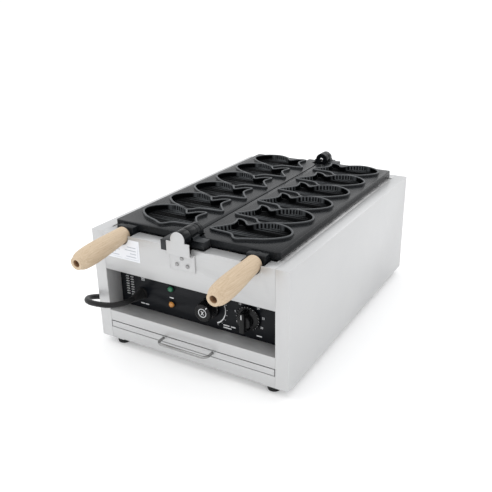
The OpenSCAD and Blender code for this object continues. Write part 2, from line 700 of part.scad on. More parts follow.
// ---------- controls ----------
module knob(x, d, grip_w) color("#111213") difference() {
    y_back = panel_y - knob_gap;
    union() {
        rod_y(x, control_z, y_back - 7, y_back, d / 2);
        rod_y(x, control_z, y_back - knob_h, y_back - 6, grip_w > 0 ? d / 2 - 9 : d / 2 - 1.5);
        if (grip_w > 0) slab([x - grip_w / 2, x + grip_w / 2], [y_back - knob_h, y_back - 5],
            [control_z - d / 2 + 3, control_z + d / 2 - 3]);
    }
    rod_y(x, control_z, y_back - 14, y_back + 1, spindle_d / 2 + hole_clear);
}
module thermostat_knob() knob(thermo_x, thermo_d, 0);
module timer_knob() knob(timer_x, timer_d, 12);

module spindle(x) color("#c9b26a")
    rod_y(x, control_z, panel_y - knob_gap - 13.9, panel_y + panel_t + 8, spindle_d / 2);
module thermostat_spindle() spindle(thermo_x);
module timer_spindle() spindle(timer_x);

module switch_body(x, w, h, l) color("#d8d6cf") difference() {
    y0 = panel_y + panel_t;
    union() {
        slab([x - w / 2, x + w / 2], [y0, y0 + l], [control_z - h / 2, control_z + h / 2]);
        rod_y(x, control_z, panel_y, y0, 5);
    }
    rod_y(x, control_z, panel_y - 1, y0 + 9, spindle_d / 2 + spindle_clear);
}
module thermostat_body() switch_body(thermo_x, 40, thermo_h, 36);
module timer_body() switch_body(timer_x, 46, 44, 48);

// Sensing bulb below the right-hand plate and the fine tube that feeds it
module thermostat_bulb() color("#b98a55") {
    bulb_y = elem_front + 70;
    rod_y(bulb_x, bulb_z, bulb_y, bulb_y + 90, 3);
    rod_y(bulb_x, bulb_z, feed_y, bulb_y, feed_r);
    translate([feed_x, feed_y, thermo_top]) cylinder(r = feed_r, h = bulb_z - thermo_top + feed_r);
    translate([min(feed_x, bulb_x) - feed_r, feed_y, bulb_z]) rotate([0, 90, 0])
        cylinder(r = feed_r, h = abs(feed_x - bulb_x) + 2 * feed_r);
}

module lamp(z, c) color(c) {
    rod_y(-lamp_x, z, panel_y - 1.5, panel_y, lamp_d / 2 + 0.5);
    translate([-lamp_x, panel_y - 1.5, z]) rotate([90, 0, 0]) rotate_extrude() intersection() {
        translate([0, -3]) circle(r = 7.2);
        square([lamp_d / 2, 8]);
    }
}
module green_lamp() lamp(control_z + lamp_gap / 2, "#1f6b45");
module amber_lamp() lamp(control_z - lamp_gap / 2, "#b5762c");

module lamp_holders() color("#dcdad2") for (k = [-1, 1])
    rod_y(-lamp_x, control_z + k * lamp_gap / 2, panel_y, panel_y + 24, lamp_d / 2 - 1.05);

module cable_gland() color("#141415") {
    difference() {
        union() {
            rod_y(-gland_x, gland_z, panel_y - 4, panel_y, gland_d / 2);
            rod_y(-gland_x, gland_z, panel_y, panel_y + 14, 8);
            translate([-gland_x, panel_y + panel_t, gland_z]) rotate([-90, 0, 0]) cylinder(r = 12, h = 5, $fn = 6);
        }
        rod_y(-gland_x, gland_z, panel_y - 5, panel_y + 15, cord_r + hole_clear);
    }
}

module strain_relief_boot() color("#101011") {
    translate([-gland_x, panel_y - 4, gland_z]) rotate([90, 0, 0]) difference() {
        cylinder(r1 = 9, r2 = cord_r + 1.5, h = boot_l);
        translate([0, 0, -1]) cylinder(r = cord_r + hole_clear, h = boot_l + 2);
    }
}

module terminal_block() color("#e8e6dd") slab([-gland_x - 25, -gland_x + 25],
    [panel_y + 70, panel_y + 90], [control_z - 18, control_z + 4]);

// The cord's three cores inside the cabinet
module supply_leads() color("#8a5a2b") for (k = [-1, 0, 1])
    rod_y(-gland_x + k * 3, gland_z + (k == 0 ? 2.4 : -1.2), panel_y + 6, panel_y + 70, 1.4);

// ---------- supply cord ----------
module cord_tube() color("#121213") tube(cord_route, cord_r, cord_sides);
module cord_tail() color("#121213") tube(cord_tail_route, cord_r, cord_sides);
module cord_coil() color("#121213") translate([coil_at[0], coil_at[1], 0])
    rotate_extrude() translate([coil_r - coil_turn_w, 0]) square([2 * coil_turn_w, coil_h]);

module plug_body() color("#151516") translate(plug_at) rotate([-90, 0, 0]) {
    cylinder(r1 = cord_r + 1, r2 = 9, h = 18);
    translate([0, 0, 18]) cylinder(r1 = 9, r2 = 15, h = 22);
    translate([0, 0, 40]) cylinder(r = plug_r, h = 10);
}
module plug_pins() color("#c9c2a8") for (s = [-1, 1])
    translate(plug_at + [s * 9.5, 50, 0]) rotate([-90, 0, 0]) cylinder(r = 2.4, h = 19);

left_side_panel();
right_side_panel();
front_upper_panel();
lower_front_panel();
bottom_front_rail();
rear_panel();
base_pan();
control_panel();
recess_cheeks();
heater_bay();
left_plate_ledge();
right_plate_ledge();
element_supports();
left_heating_element();
right_heating_element();
front_hinge_bracket();
rear_hinge_bracket();
front_pivot_pin();
front_pivot_sleeve();
rear_pivot_pin();
bracket_rivets();
rubber_feet();
foot_screws();
rear_panel_screws();
blank_label();
left_mould_plate();
right_mould_plate();
left_hinge_arms();
right_hinge_arms();
left_handle_rod();
right_handle_rod();
left_handle();
right_handle();
left_handle_nut();
right_handle_nut();
crumb_tray();
tray_pull();
tray_pull_nuts();
tray_runners();
thermostat_knob();
thermostat_spindle();
thermostat_body();
thermostat_bulb();
timer_knob();
timer_spindle();
timer_body();
green_lamp();
amber_lamp();
lamp_holders();
cable_gland();
strain_relief_boot();
terminal_block();
supply_leads();
cord_tube();
cord_coil();
cord_tail();
plug_body();
plug_pins();
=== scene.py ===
# Six-fish electric waffle machine: the visible pieces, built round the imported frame.
# Metres, +X to the right, +Y to the back, +Z up, floor at Z = 0.
import json
from math import atan2, cos, hypot, pi, radians, sin, tau

import bpy
from mathutils import Matrix, Vector
from mathutils.geometry import intersect_line_line_2d
from mathutils.kdtree import KDTree


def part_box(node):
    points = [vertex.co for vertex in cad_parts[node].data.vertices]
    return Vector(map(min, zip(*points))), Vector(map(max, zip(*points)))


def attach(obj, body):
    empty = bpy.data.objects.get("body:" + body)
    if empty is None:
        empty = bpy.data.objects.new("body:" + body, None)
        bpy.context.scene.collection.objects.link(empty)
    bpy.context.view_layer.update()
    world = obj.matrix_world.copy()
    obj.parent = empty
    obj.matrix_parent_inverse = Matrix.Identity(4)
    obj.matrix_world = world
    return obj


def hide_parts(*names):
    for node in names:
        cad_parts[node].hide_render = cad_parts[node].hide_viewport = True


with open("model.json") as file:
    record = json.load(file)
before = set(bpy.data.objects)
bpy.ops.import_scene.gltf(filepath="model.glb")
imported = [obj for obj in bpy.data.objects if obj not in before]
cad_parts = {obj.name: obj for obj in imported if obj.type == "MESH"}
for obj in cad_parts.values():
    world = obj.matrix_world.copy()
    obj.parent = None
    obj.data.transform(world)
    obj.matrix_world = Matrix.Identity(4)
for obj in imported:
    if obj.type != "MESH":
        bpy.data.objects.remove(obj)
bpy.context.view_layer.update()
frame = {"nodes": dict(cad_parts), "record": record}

bpy.ops.object.select_all(action="DESELECT")
MM = 0.001


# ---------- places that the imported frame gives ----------
def low(node):
    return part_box(node)[0]


def high(node):
    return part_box(node)[1]


def middle(node):
    return (low(node) + high(node)) / 2


FRONT = low("front_upper_panel").y
BACK = high("rear_panel").y
POST = high("front_upper_panel").x
TOP = high("left_side_panel").z
PANEL = low("control_panel").y
AXIS = middle("rear_pivot_pin").z
THERMOSTAT = middle("thermostat_knob")
TIMER = middle("timer_knob")
GREEN = middle("green_lamp")
AMBER = middle("amber_lamp")
GLAND = middle("cable_gland")
COIL = middle("cord_coil")


# ---------- shader maths ----------
class Wire:
    """A socket of one material. Arithmetic on it adds Math nodes."""

    def __init__(self, tree, socket=None):
        self.tree = tree
        self.socket = socket

    def add(self, kind, settings=None, sockets=None, out=0):
        """Adds a node: its settings first, then the values or wires of its sockets."""
        made = self.tree.nodes.new(kind)
        for name, value in (settings or {}).items():
            if name == "stops":
                fill_ramp(made.color_ramp, value)
            else:
                setattr(made, name, value)
        for name, value in (sockets or {}).items():
            if isinstance(value, Wire):
                self.tree.links.new(value.socket, made.inputs[name])
            else:
                made.inputs[name].default_value = value
        return Wire(self.tree, made.outputs[out] if len(made.outputs) else None)

    def maths(self, operation, *values):
        return self.add("ShaderNodeMath", {"operation": operation}, dict(enumerate(values)))

    def __add__(self, other):
        return self.maths("ADD", self, other)

    def __radd__(self, other):
        return self.maths("ADD", other, self)

    def __sub__(self, other):
        return self.maths("SUBTRACT", self, other)

    def __rsub__(self, other):
        return self.maths("SUBTRACT", other, self)

    def __mul__(self, other):
        return self.maths("MULTIPLY", self, other)

    def __rmul__(self, other):
        return self.maths("MULTIPLY", other, self)

    def __truediv__(self, other):
        return self.maths("DIVIDE", self, other)

    def __rtruediv__(self, other):
        return self.maths("DIVIDE", other, self)

    def __gt__(self, other):
        return self.maths("GREATER_THAN", self, other)

    def __lt__(self, other):
        return self.maths("LESS_THAN", self, other)


def fill_ramp(ramp, stops):
    """Gives a colour ramp its stops: (place, grey or colour) pairs."""
    while len(ramp.elements) < len(stops):
        ramp.elements.new(0.5)
    for element, (place, shade) in zip(ramp.elements, stops):
        element.position = place
        element.color = shade if len(shade) == 4 else (*shade, 1)


def grey(value):
    return (value, value, value, 1)


def start_material(name):
    """A new material, and a wire from which its nodes are added."""
    material = bpy.data.materials.new(name)
    material.use_nodes = True
    material.node_tree.nodes.clear()
    return material, Wire(material.node_tree)


def places(wire, scale=(1, 1, 1), turn=(0, 0, 0), shift=(0, 0, 0)):
    """Object coordinates in metres, shifted, turned and stretched."""
    at = wire.add("ShaderNodeTexCoord", out="Object")
    return at.add("ShaderNodeMapping", None,
                  {"Vector": at, "Scale": scale, "Rotation": turn, "Location": shift})


def noise(at, scale, detail=3.0, rough=0.5):
    return at.add("ShaderNodeTexNoise", None,
                  {"Vector": at, "Scale": scale, "Detail": detail, "Roughness": rough})


def ramp(value, *stops):
    return value.add("ShaderNodeValToRGB", {"stops": stops}, {"Fac": value})


def blend_colour(factor, a, b, mode="MIX"):
    """Mixes two colours; index 0 is the factor, 6 and 7 the colours."""
    wire = next(x for x in (factor, a, b) if isinstance(x, Wire))
    return wire.add("ShaderNodeMix", {"data_type": "RGBA", "blend_type": mode},
                    {0: factor, 6: a, 7: b}, out=2)


def bump(height, strength, distance):
    return height.add("ShaderNodeBump", None,
                      {"Height": height, "Strength": strength, "Distance": distance})


def surface(material, wire, **sockets):
    """Ends a material with a Principled shader; a socket's spaces are written as underscores."""
    named = {name.replace("_", " "): value for name, value in sockets.items()}
    shader = wire.add("ShaderNodeBsdfPrincipled", None, named)
    wire.add("ShaderNodeOutputMaterial", None, {"Surface": shader})
    return material


# ---------- finishes ----------
def brushed_steel(name, shade, lines, rough, contrast=0.10):
    """Brushed stainless sheet; lines is how often the shade changes per metre along X, Y and Z."""
    material, wire = start_material(name)
    hair = noise(places(wire, scale=lines), 1, 3, 0.55)
    cloud = noise(places(wire), 9, 3, 0.6)
    smudge = noise(places(wire, shift=(0.3, 0.1, 0.2)), 34, 4, 0.65)
    tone = (hair - 0.5) * contrast + (cloud - 0.5) * 0.10
    colour = ramp(tone + 0.5, (0.38, (shade * 0.86, shade * 0.87, shade * 0.88)),
                  (0.62, (shade, shade, shade * 0.995)))
    return surface(material, wire, Base_Color=colour, Metallic=0.45,
                   Roughness=rough + (hair - 0.5) * 0.12 + (smudge - 0.5) * 0.10,
                   Normal=bump(hair, 0.10, 0.00005))


def polished_steel(name, shade, rough):
    """Turned or drawn steel with faint rings and scratches."""
    material, wire = start_material(name)
    scratch = noise(places(wire, scale=(900, 60, 900)), 1, 3, 0.6)
    cloud = noise(places(wire), 40, 3, 0.5)
    colour = ramp(cloud, (0.3, (shade * 0.88, shade * 0.88, shade * 0.87)), (0.7, grey(shade)))
    return surface(material, wire, Base_Color=colour, Metallic=1.0,
                   Roughness=rough + (scratch - 0.5) * 0.10 + (cloud - 0.5) * 0.06,
                   Normal=bump(scratch, 0.06, 0.00004))


def galvanised_steel(name):
    """Inner steelwork with a dull crystal pattern."""
    material, wire = start_material(name)
    crystal = places(wire).add("ShaderNodeTexVoronoi", None, {"Vector": places(wire), "Scale": 130}, "Color")
    cloud = noise(places(wire), 22, 4, 0.6)
    tone = crystal.add("ShaderNodeSeparateColor", None, {"Color": crystal}, 0)
    colour = ramp(tone * 0.3 + cloud * 0.7, (0.25, grey(0.40)), (0.75, grey(0.58)))
    return surface(material, wire, Base_Color=colour, Metallic=0.85,
                   Roughness=0.42 + (cloud - 0.5) * 0.2 + (tone - 0.5) * 0.08)


def coated_iron(name, shine, depth, edge_greying):
    """Cast plate with a black non-stick coat: a fine orange-peel skin, greyer on high edges, partly as wear
    and partly as painted highlight.

    shine is the gloss, depth scales how light the black is, and the last number how grey its edges and flecks
    are; the greying is partly wear, partly painted highlight.
    """
    material, wire = start_material(name)
    at = places(wire)
    peel = noise(at, 950, 3, 0.6)
    sand = noise(at, 240, 4, 0.6)
    haze = noise(at, 16, 4, 0.6)
    edge = at.add("ShaderNodeNewGeometry", out="Pointiness")
    ridge_highlight_and_wear = at.add("ShaderNodeAttribute", {"attribute_name": "worn"}, None, "Fac")
    # High, convex edges found by pointiness turn greyer: partly wear, partly painted highlight.
    worn = ramp(edge + (sand - 0.5) * 0.05, (0.53, grey(0)), (0.62, grey(1)))
    dark, light = (0.0030, 0.0037, 0.0048), (0.0060, 0.0069, 0.0082)
    colour = blend_colour(haze, (*(depth * c for c in dark), 1), (*(depth * c for c in light), 1))
    colour = blend_colour(worn * edge_greying, colour, (0.075, 0.080, 0.085, 1))
    # Lighter grey where the mould's attribute is high: painted highlight on flute crests and near the eye,
    # partly wear and partly painted highlight on rim tops.
    colour = blend_colour(ridge_highlight_and_wear * (0.75 + (sand - 0.5) * 0.8), colour, (0.165, 0.175, 0.185, 1))
    fleck = ramp(noise(at, 1400, 2, 0.5), (0.70, grey(0)), (0.76, grey(1)))
    colour = blend_colour(fleck * edge_greying * 0.5, colour, (0.05, 0.052, 0.056, 1))
    return surface(material, wire, Base_Color=colour, Metallic=0.0, Specular_IOR_Level=shine,
                   Roughness=0.25 + (haze - 0.5) * 0.14 + (sand - 0.5) * 0.08 + worn * 0.06,
                   Normal=bump(peel * 0.6 + sand * 0.4, 0.16, 0.0001))


def beech_wood(name, side):
    """Pale beech: long grain along the handle, short dark flecks and soft growth rings."""
    material, wire = start_material(name)
    along = places(wire, scale=(1, 0.045, 1), turn=(radians(-5.2), 0, 0), shift=(0.7 * side, 0.2, 0.1))
    grain = noise(along, 420, 5, 0.62)
    figure = noise(along, 60, 3, 0.5)
    ring = (figure * 14).maths("FRACT", figure * 14)
    fleck_at = places(wire, scale=(900, 190, 900), turn=(radians(-5.2), 0, 0))
    fleck = ramp(noise(fleck_at, 1, 2, 0.5), (0.64, grey(0)), (0.72, grey(1)))
    tone = noise(places(wire), 18, 3, 0.5)
    colour = ramp(grain * 0.55 + ring * 0.18 + tone * 0.27,
                  (0.25, (0.470, 0.350, 0.225)), (0.50, (0.560, 0.435, 0.300)), (0.78, (0.640, 0.520, 0.375)))
    colour = blend_colour(fleck * 0.5, colour, (0.27, 0.165, 0.09, 1))
    return surface(material, wire, Base_Color=colour,
                   Roughness=0.52 + (grain - 0.5) * 0.18 + fleck * 0.06,
                   Normal=bump(grain * 0.7 - fleck * 0.3, 0.25, 0.00018))


def end_grain(name):
    """Darker, rougher beech inside the bored end of a handle."""
    material, wire = start_material(name)
    rough = noise(places(wire), 700, 4, 0.6)
    colour = ramp(rough, (0.3, (0.22, 0.115, 0.055)), (0.7, (0.40, 0.24, 0.13)))
    return surface(material, wire, Base_Color=colour, Roughness=0.7 + (rough - 0.5) * 0.2,
                   Normal=bump(rough, 0.4, 0.0003))


def painted(name, colour, rough, grain=800, depth=0.00006, spread=0.25, shine=0.5, glow=0.0):
    """Moulded plastic, powder paint or rubber: one colour that drifts a little, with a fine skin."""
    material, wire = start_material(name)
    at = places(wire)
    skin = noise(at, grain, 3, 0.6)
    drift = noise(at, 28, 4, 0.6)
    dark = (*[c * (1 - spread) for c in colour], 1)
    light = (*[min(1, c * (1 + spread)) for c in colour], 1)
    return surface(material, wire, Base_Color=blend_colour(drift, dark, light), Specular_IOR_Level=shine,
                   Emission_Color=(1, 1, 1, 1), Emission_Strength=glow,
                   Roughness=rough + (drift - 0.5) * 0.14 + (skin - 0.5) * 0.08,
                   Normal=bump(skin, 0.3, depth))


def lamp_lens(name, colour, glow):
    """Coloured lens with a faint glow of the lamp behind it, its colour and glow drifting with a noise."""
    material, wire = start_material(name)
    facets = places(wire).add("ShaderNodeTexVoronoi", None, {"Vector": places(wire), "Scale": 620})
    cloud = noise(places(wire), 90, 3, 0.5)
    dark = (*[c * 0.55 for c in colour], 1)
    return surface(material, wire, Base_Color=blend_colour(cloud, dark, (*colour, 1)),
                   Roughness=0.16 + cloud * 0.10, Coat_Weight=0.6, Coat_Roughness=0.06,
                   Emission_Color=blend_colour(cloud, dark, (*colour, 1)), Emission_Strength=glow,
                   Normal=bump(facets, 0.35, 0.00025))


def wire_lacquer(name, colour):
    """Burnt metal sheath of the heating elements, straw to blue-grey."""
    material, wire = start_material(name)
    heat = noise(places(wire), 14, 4, 0.6)
    skin = noise(places(wire), 500, 3, 0.6)
    hot = ramp(heat, (0.3, (*colour, 1)), (0.55, (0.16, 0.13, 0.10)), (0.75, (0.09, 0.095, 0.11)))
    return surface(material, wire, Base_Color=hot, Metallic=0.7,
                   Roughness=0.45 + (skin - 0.5) * 0.2, Normal=bump(skin, 0.2, 0.0001))


ALONG_X = (14, 1500, 1500)
ALONG_Y = (1500, 14, 1500)
FINISH = {
    "stainless": brushed_steel("brushed_steel_along_x", 0.58, ALONG_X, 0.36, 0.16),
    "stainless_side": brushed_steel("brushed_steel_along_y", 0.61, ALONG_Y, 0.38),
    "recess_steel": brushed_steel("brushed_steel_recess", 0.52, (1500, 1500, 14), 0.46, 0.3),
    "inner_steel": galvanised_steel("inner_galvanised_steel"),
    "bright_steel": polished_steel("bright_steel", 0.62, 0.14),
    # A darker copy of the polished steel, for the tray's wire pull and the rivets: painted shade for their
    # dark undersides.
    "wire_painted_darker": polished_steel("steel_wire_painted_darker", 0.34, 0.20),
    "element_sheath": wire_lacquer("element_sheath", (0.22, 0.19, 0.16)),
    "coated_casting": coated_iron("coated_iron", 0.14, 0.9, 0.40),
    # The moulds' inner faces get a darker, duller copy of the coat: painted shade in the hollows.
    "mould_coat_painted_darker": coated_iron("coated_iron_painted_darker_in_the_moulds", 0.03, 0.25, 0.05),
    "left_beech": beech_wood("left_beech", -1),
    "right_beech": beech_wood("right_beech", 1),
    "bored_beech": end_grain("bored_beech"),
    "black_panel": painted("black_panel_paint", (0.0045, 0.0055, 0.0075), 0.34, 900, shine=0.16),
    "foot_rubber": painted("foot_rubber", (0.010, 0.010, 0.010), 0.65, 500, 0.0002, shine=0.25),
    "label_white": painted("label_film", (0.80, 0.82, 0.86), 0.30, 300, 0.00001, 0.04),
    "label_grey": painted("label_grey_ink", (0.46, 0.49, 0.54), 0.35, 600, 0.00001, 0.12),
    "marking_white": painted("marking_ink", (0.72, 0.73, 0.74), 0.45, 900, 0.00002, 0.10),
    "knob_black": painted("knob_plastic", (0.0042, 0.0045, 0.0050), 0.26, 700, shine=0.24),
    "brass": painted("turned_brass", (0.60, 0.44, 0.20), 0.30),
    "inner_plastic": painted("inner_phenolic", (0.62, 0.59, 0.51), 0.5),
    "green_lens": lamp_lens("green_lens", (0.010, 0.17, 0.075), 0.10),
    "amber_lens": lamp_lens("amber_lens", (0.62, 0.26, 0.045), 0.16),
    "black_plastic": painted("moulded_black_plastic", (0.0055, 0.0055, 0.006), 0.40, 600, 0.0001, shine=0.25),
    "cord_rubber": painted("cord_rubber", (0.0060, 0.0060, 0.0065), 0.46, 350, 0.00012, shine=0.28),
    "plated_pins": polished_steel("plated_pins", 0.78, 0.22),
    "copper": painted("lead_insulation", (0.30, 0.12, 0.05), 0.5),
}


def finish_with(piece, finish):
    """Gives every material slot of a piece one finish."""
    if not piece.data.materials:
        piece.data.materials.append(FINISH[finish])
    for index in range(len(piece.data.materials)):
        piece.data.materials[index] = FINISH[finish]
    return piece


def keep_piece(piece, body, slot, finish=None, *replaced):
    """Lets a finished piece ride on its body and stand for the CAD nodes that it replaces."""
    finish_with(piece, finish or slot)
    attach(piece, body)
    if replaced:
        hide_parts(*replaced)
    return piece


# ---------- camera, floor and light ----------
def camera_axes(azimuth, elevation, roll):
    """Right, up and back directions of a camera that looks at the object."""
    back = Vector((sin(azimuth) * cos(elevation), -cos(azimuth) * cos(elevation), sin(elevation)))
    level = Vector((cos(azimuth), sin(azimuth), 0))
    upright = back.cross(level)
    right = level * cos(roll) + upright * sin(roll)
    return right, upright * cos(roll) - level * sin(roll), back


def place_camera():
    right, up, back = camera_axes(radians(30.71), radians(22.45), radians(-0.98))
    lens = bpy.data.cameras.new("product_camera")
    lens.lens = 47.18
    lens.sensor_width = 36
    camera = bpy.data.objects.new("product_camera", lens)
    bpy.context.scene.collection.objects.link(camera)
    turn = Matrix((right, up, back)).transposed().to_4x4()
    camera.matrix_world = Matrix.Translation((0.57854, -1.00364, 0.62379)) @ turn
    bpy.context.scene.camera = camera


def area_light(name, place, target, size, power):
    bpy.ops.object.light_add(type="AREA", location=place)
    light = bpy.context.object
    light.name = name
    light.data.shape = "DISK"
    light.data.size = size
    light.data.energy = power
    light.rotation_euler = (Vector(target) - Vector(place)).to_track_quat("-Z", "Y").to_euler()


def studio():
    world = bpy.data.worlds.new("pale_studio")
    bpy.context.scene.world = world
    world.use_nodes = True
    background = world.node_tree.nodes["Background"]
    background.inputs["Color"].default_value = (0.985, 0.99, 1.0, 1)
    background.inputs["Strength"].default_value = 1.02
    area_light("high_softbox", (-0.9, -0.6, 2.1), (0, 0, 0.15), 1.6, 9)
    area_light("front_softbox", (0.9, -2.2, 1.3), (0, 0, 0.12), 1.4, 4)
    area_light("rear_softbox", (0.4, 2.0, 1.7), (0, 0, 0.2), 1.3, 8)
    bpy.ops.mesh.primitive_plane_add(size=60, location=(0, 0, 0))
    floor = bpy.context.object
    floor.name = "studio_floor"
    paper = painted("studio_paper", (0.90, 0.90, 0.90), 0.85, 60, 0.00001, 0.01, glow=0.16)
    floor.data.materials.append(paper)
    bpy.context.scene.view_settings.view_transform = "Standard"


place_camera()
studio()


# ---------- supply cord ----------
CORD = 0.010
ROUTE = [
    (-120, -214, 101), (-120, -225.5, 101), (-123, -240.8, 101), (-131.7, -253.8, 100.5),
    (-144.7, -262.5, 100),
    (-160, -265.5, 99), (-175, -265.5, 97.5), (-190.3, -262.5, 95.5), (-203.3, -253.8, 92.5),
    (-212, -240.8, 88.5), (-215, -225.5, 83), (-215.5, -205, 74), (-216, -185, 63),
    (-216, -165, 51), (-216, -145, 39), (-216, -125, 28), (-216, -105, 18.5),
    (-216, -85, 11), (-215.5, -65, 6.5), (-215, -45, 5), (-215, -28, 5)]
TAIL = [
    (-215.5, 8, 14), (-217, 28, 10.5), (-219, 48, 7.5),
    (-221, 66, 8.5), (-222.5, 84, 13), (-224, 102, 17)]
TURN_POINTS = 16
# Stretches of the coil: turns at the end, radius and height there
COIL_STRETCHES = [(0, 0.065, 0.005), (2, 0.0445, 0.005), (2.5, 0.0434, 0.0151), (4, 0.065, 0.0151)]


def coil_points():
    """Points of the coil: two turns inwards on the floor, then back out on top of them."""
    found = []
    for (t0, r0, z0), (t1, r1, z1) in zip(COIL_STRETCHES, COIL_STRETCHES[1:]):
        steps = round((t1 - t0) * TURN_POINTS)
        for k in range(steps):
            share = k / steps
            angle = tau * (t0 + (t1 - t0) * share)
            radius = r0 + (r1 - r0) * share
            found.append((COIL.x + radius * cos(angle), COIL.y + radius * sin(angle), z0 + (z1 - z0) * share))
    radius, height = COIL_STRETCHES[-1][1:]
    found.append((COIL.x + radius, COIL.y, height))
    return found


def cord_line():
    """The cord's middle line from the boot through the coil to the plug."""
    return ([Vector(p) * MM for p in ROUTE] + [Vector(p) for p in coil_points()]
            + [Vector(p) * MM for p in TAIL])


def supply_cord():
    line = cord_line()
    data = bpy.data.curves.new("supply_cord", "CURVE")
    data.dimensions = "3D"
    data.bevel_depth = CORD / 2
    data.bevel_resolution = 5
    data.resolution_u = 5
    data.use_fill_caps = True
    spline = data.splines.new("BEZIER")
    spline.bezier_points.add(len(line) - 1)
    for knot, place in zip(spline.bezier_points, line):
        knot.co = place
        knot.handle_left_type = knot.handle_right_type = "AUTO"
    cord = bpy.data.objects.new("supply_cord", data)
    bpy.context.scene.collection.objects.link(cord)
    cord.data.materials.append(FINISH["cord_rubber"])
    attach(cord, "cabinet")
    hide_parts("cord_tube", "cord_coil", "cord_tail")
    return cord, line[0]


cord, cord_exit = supply_cord()


# ---------- modelling helpers ----------
SLOT = {part["node"]: part["material_slot"] for part in frame["record"]["subparts"]}
BODY = {node: body for body, nodes in frame["record"]["behaviour"]["bodies"].items() for node in nodes}


def only(piece):
    """Selects one piece and nothing else."""
    bpy.ops.object.select_all(action="DESELECT")
    piece.select_set(True)
    bpy.context.view_layer.objects.active = piece


def modify(piece, kind, **settings):
    """Adds a modifier, sets it and applies it."""
    only(piece)
    modifier = piece.modifiers.new(kind.lower(), kind)
    for name, value in settings.items():
        setattr(modifier, name, value)
    bpy.ops.object.modifier_apply(modifier=modifier.name)
    return piece


def round_edges(piece, width, segments=2, corner=32):
    modify(piece, "BEVEL", width=width, segments=segments, limit_method="ANGLE", angle_limit=radians(corner))
    only(piece)
    bpy.ops.object.shade_smooth_by_angle(angle=radians(38))
    return piece


def formed(node, width=0.0004, finish=None, segments=2):
    """A copy of a CAD node with merged faces and rounded edges, which stands for it."""
    piece = bpy.data.objects.new(f"formed_{node}", frame["nodes"][node].data.copy())
    bpy.context.scene.collection.objects.link(piece)
    only(piece)
    bpy.ops.object.mode_set(mode="EDIT")
    bpy.ops.mesh.select_all(action="SELECT")
    bpy.ops.mesh.remove_doubles(threshold=0.00001)
    bpy.ops.mesh.dissolve_limited(angle_limit=radians(0.6))
    bpy.ops.object.mode_set(mode="OBJECT")
    round_edges(piece, width, segments)
    return keep_piece(piece, BODY[node], SLOT[node], finish, node)


def edit(piece, kind="VERT"):
    """Opens a piece in edit mode with all of it selected."""
    only(piece)
    bpy.ops.object.mode_set(mode="EDIT")
    bpy.ops.mesh.select_mode(type=kind)
    bpy.ops.mesh.select_all(action="SELECT")


def close_edit():
    """Merges doubles, turns every face outwards and leaves edit mode."""
    bpy.ops.mesh.select_all(action="SELECT")
    bpy.ops.mesh.remove_doubles(threshold=0.000004)
    bpy.ops.mesh.normals_make_consistent(inside=False)
    bpy.ops.object.mode_set(mode="OBJECT")


def settle(piece, place=(0, 0, 0), turn=(0, 0, 0)):
    """Puts a piece in its place and turn, and bakes both into its mesh."""
    only(piece)
    piece.location = place
    piece.rotation_euler = turn
    bpy.ops.object.transform_apply(location=True, rotation=True, scale=True)
    return piece


def turned(name, profile, steps=48, place=(0, 0, 0), turn=(0, 0, 0), smooth=38):
    """Spins a profile of (radius, height) points in millimetres round its axis, as on a lathe."""
    bpy.ops.mesh.primitive_plane_add(size=0.001)
    piece = bpy.context.object
    piece.name = name
    edit(piece)
    bpy.ops.mesh.merge(type="CENTER")
    here = Vector((0, 0, 0))
    for index, (radius, height) in enumerate(profile):
        there = Vector((radius, 0, height)) * MM
        if index:
            bpy.ops.mesh.extrude_region_move(TRANSFORM_OT_translate={"value": there - here})
        else:
            bpy.ops.transform.translate(value=there)
        here = there
    bpy.ops.mesh.select_all(action="SELECT")
    bpy.ops.mesh.spin(steps=steps, angle=tau, center=(0, 0, 0), axis=(0, 0, 1))
    close_edit()
    bpy.ops.object.shade_smooth_by_angle(angle=radians(smooth))
    return settle(piece, place, turn)


def block(name, corner_a, corner_b, width=0.0, segments=2, turn=(0, 0, 0), pivot=None):
    """A box between two corners in metres with rounded edges, turned round its pivot."""
    a, b = Vector(corner_a), Vector(corner_b)
    bpy.ops.mesh.primitive_cube_add(size=1, location=(a + b) / 2)
    piece = bpy.context.object
    piece.name = name
    piece.scale = [abs(side) for side in b - a]
    bpy.ops.object.transform_apply(location=True, rotation=True, scale=True)
    if width:
        round_edges(piece, width, segments)
    if pivot:
        piece.data.transform(Matrix.Translation(-Vector(pivot)))
        settle(piece, pivot, turn)
    return piece


def plan_prism(name, points, z0, z1):
    """A flat outline, points in millimetres, raised from one height to another."""
    bpy.ops.mesh.primitive_circle_add(vertices=len(points), radius=0.01, fill_type="NGON")
    piece = bpy.context.object
    piece.name = name
    for vertex, (x, y) in zip(piece.data.vertices, points):
        vertex.co = (x * MM, y * MM, z0)
    edit(piece)
    bpy.ops.mesh.extrude_region_move(TRANSFORM_OT_translate={"value": (0, 0, z1 - z0)})
    close_edit()
    return piece


def joined(name, *pieces):
    only(pieces[0])
    for piece in pieces[1:]:
        piece.select_set(True)
    bpy.ops.object.join()
    pieces[0].name = name
    return pieces[0]


def copy_of(piece, name, shift=(0, 0, 0), flipped=False):
    """A copy with its own mesh, moved, or mirrored to the other side of the centre line."""
    twin = piece.copy()
    twin.data = piece.data.copy()
    twin.name = name
    bpy.context.scene.collection.objects.link(twin)
    twin.data.transform(Matrix.Translation(shift))
    if flipped:
        twin.data.transform(Matrix.Scale(-1, 4, (1, 0, 0)))
        twin.data.flip_normals()
    return twin


OUT = (pi / 2, 0, 0)
BACKWARDS = (-pi / 2, 0, 0)


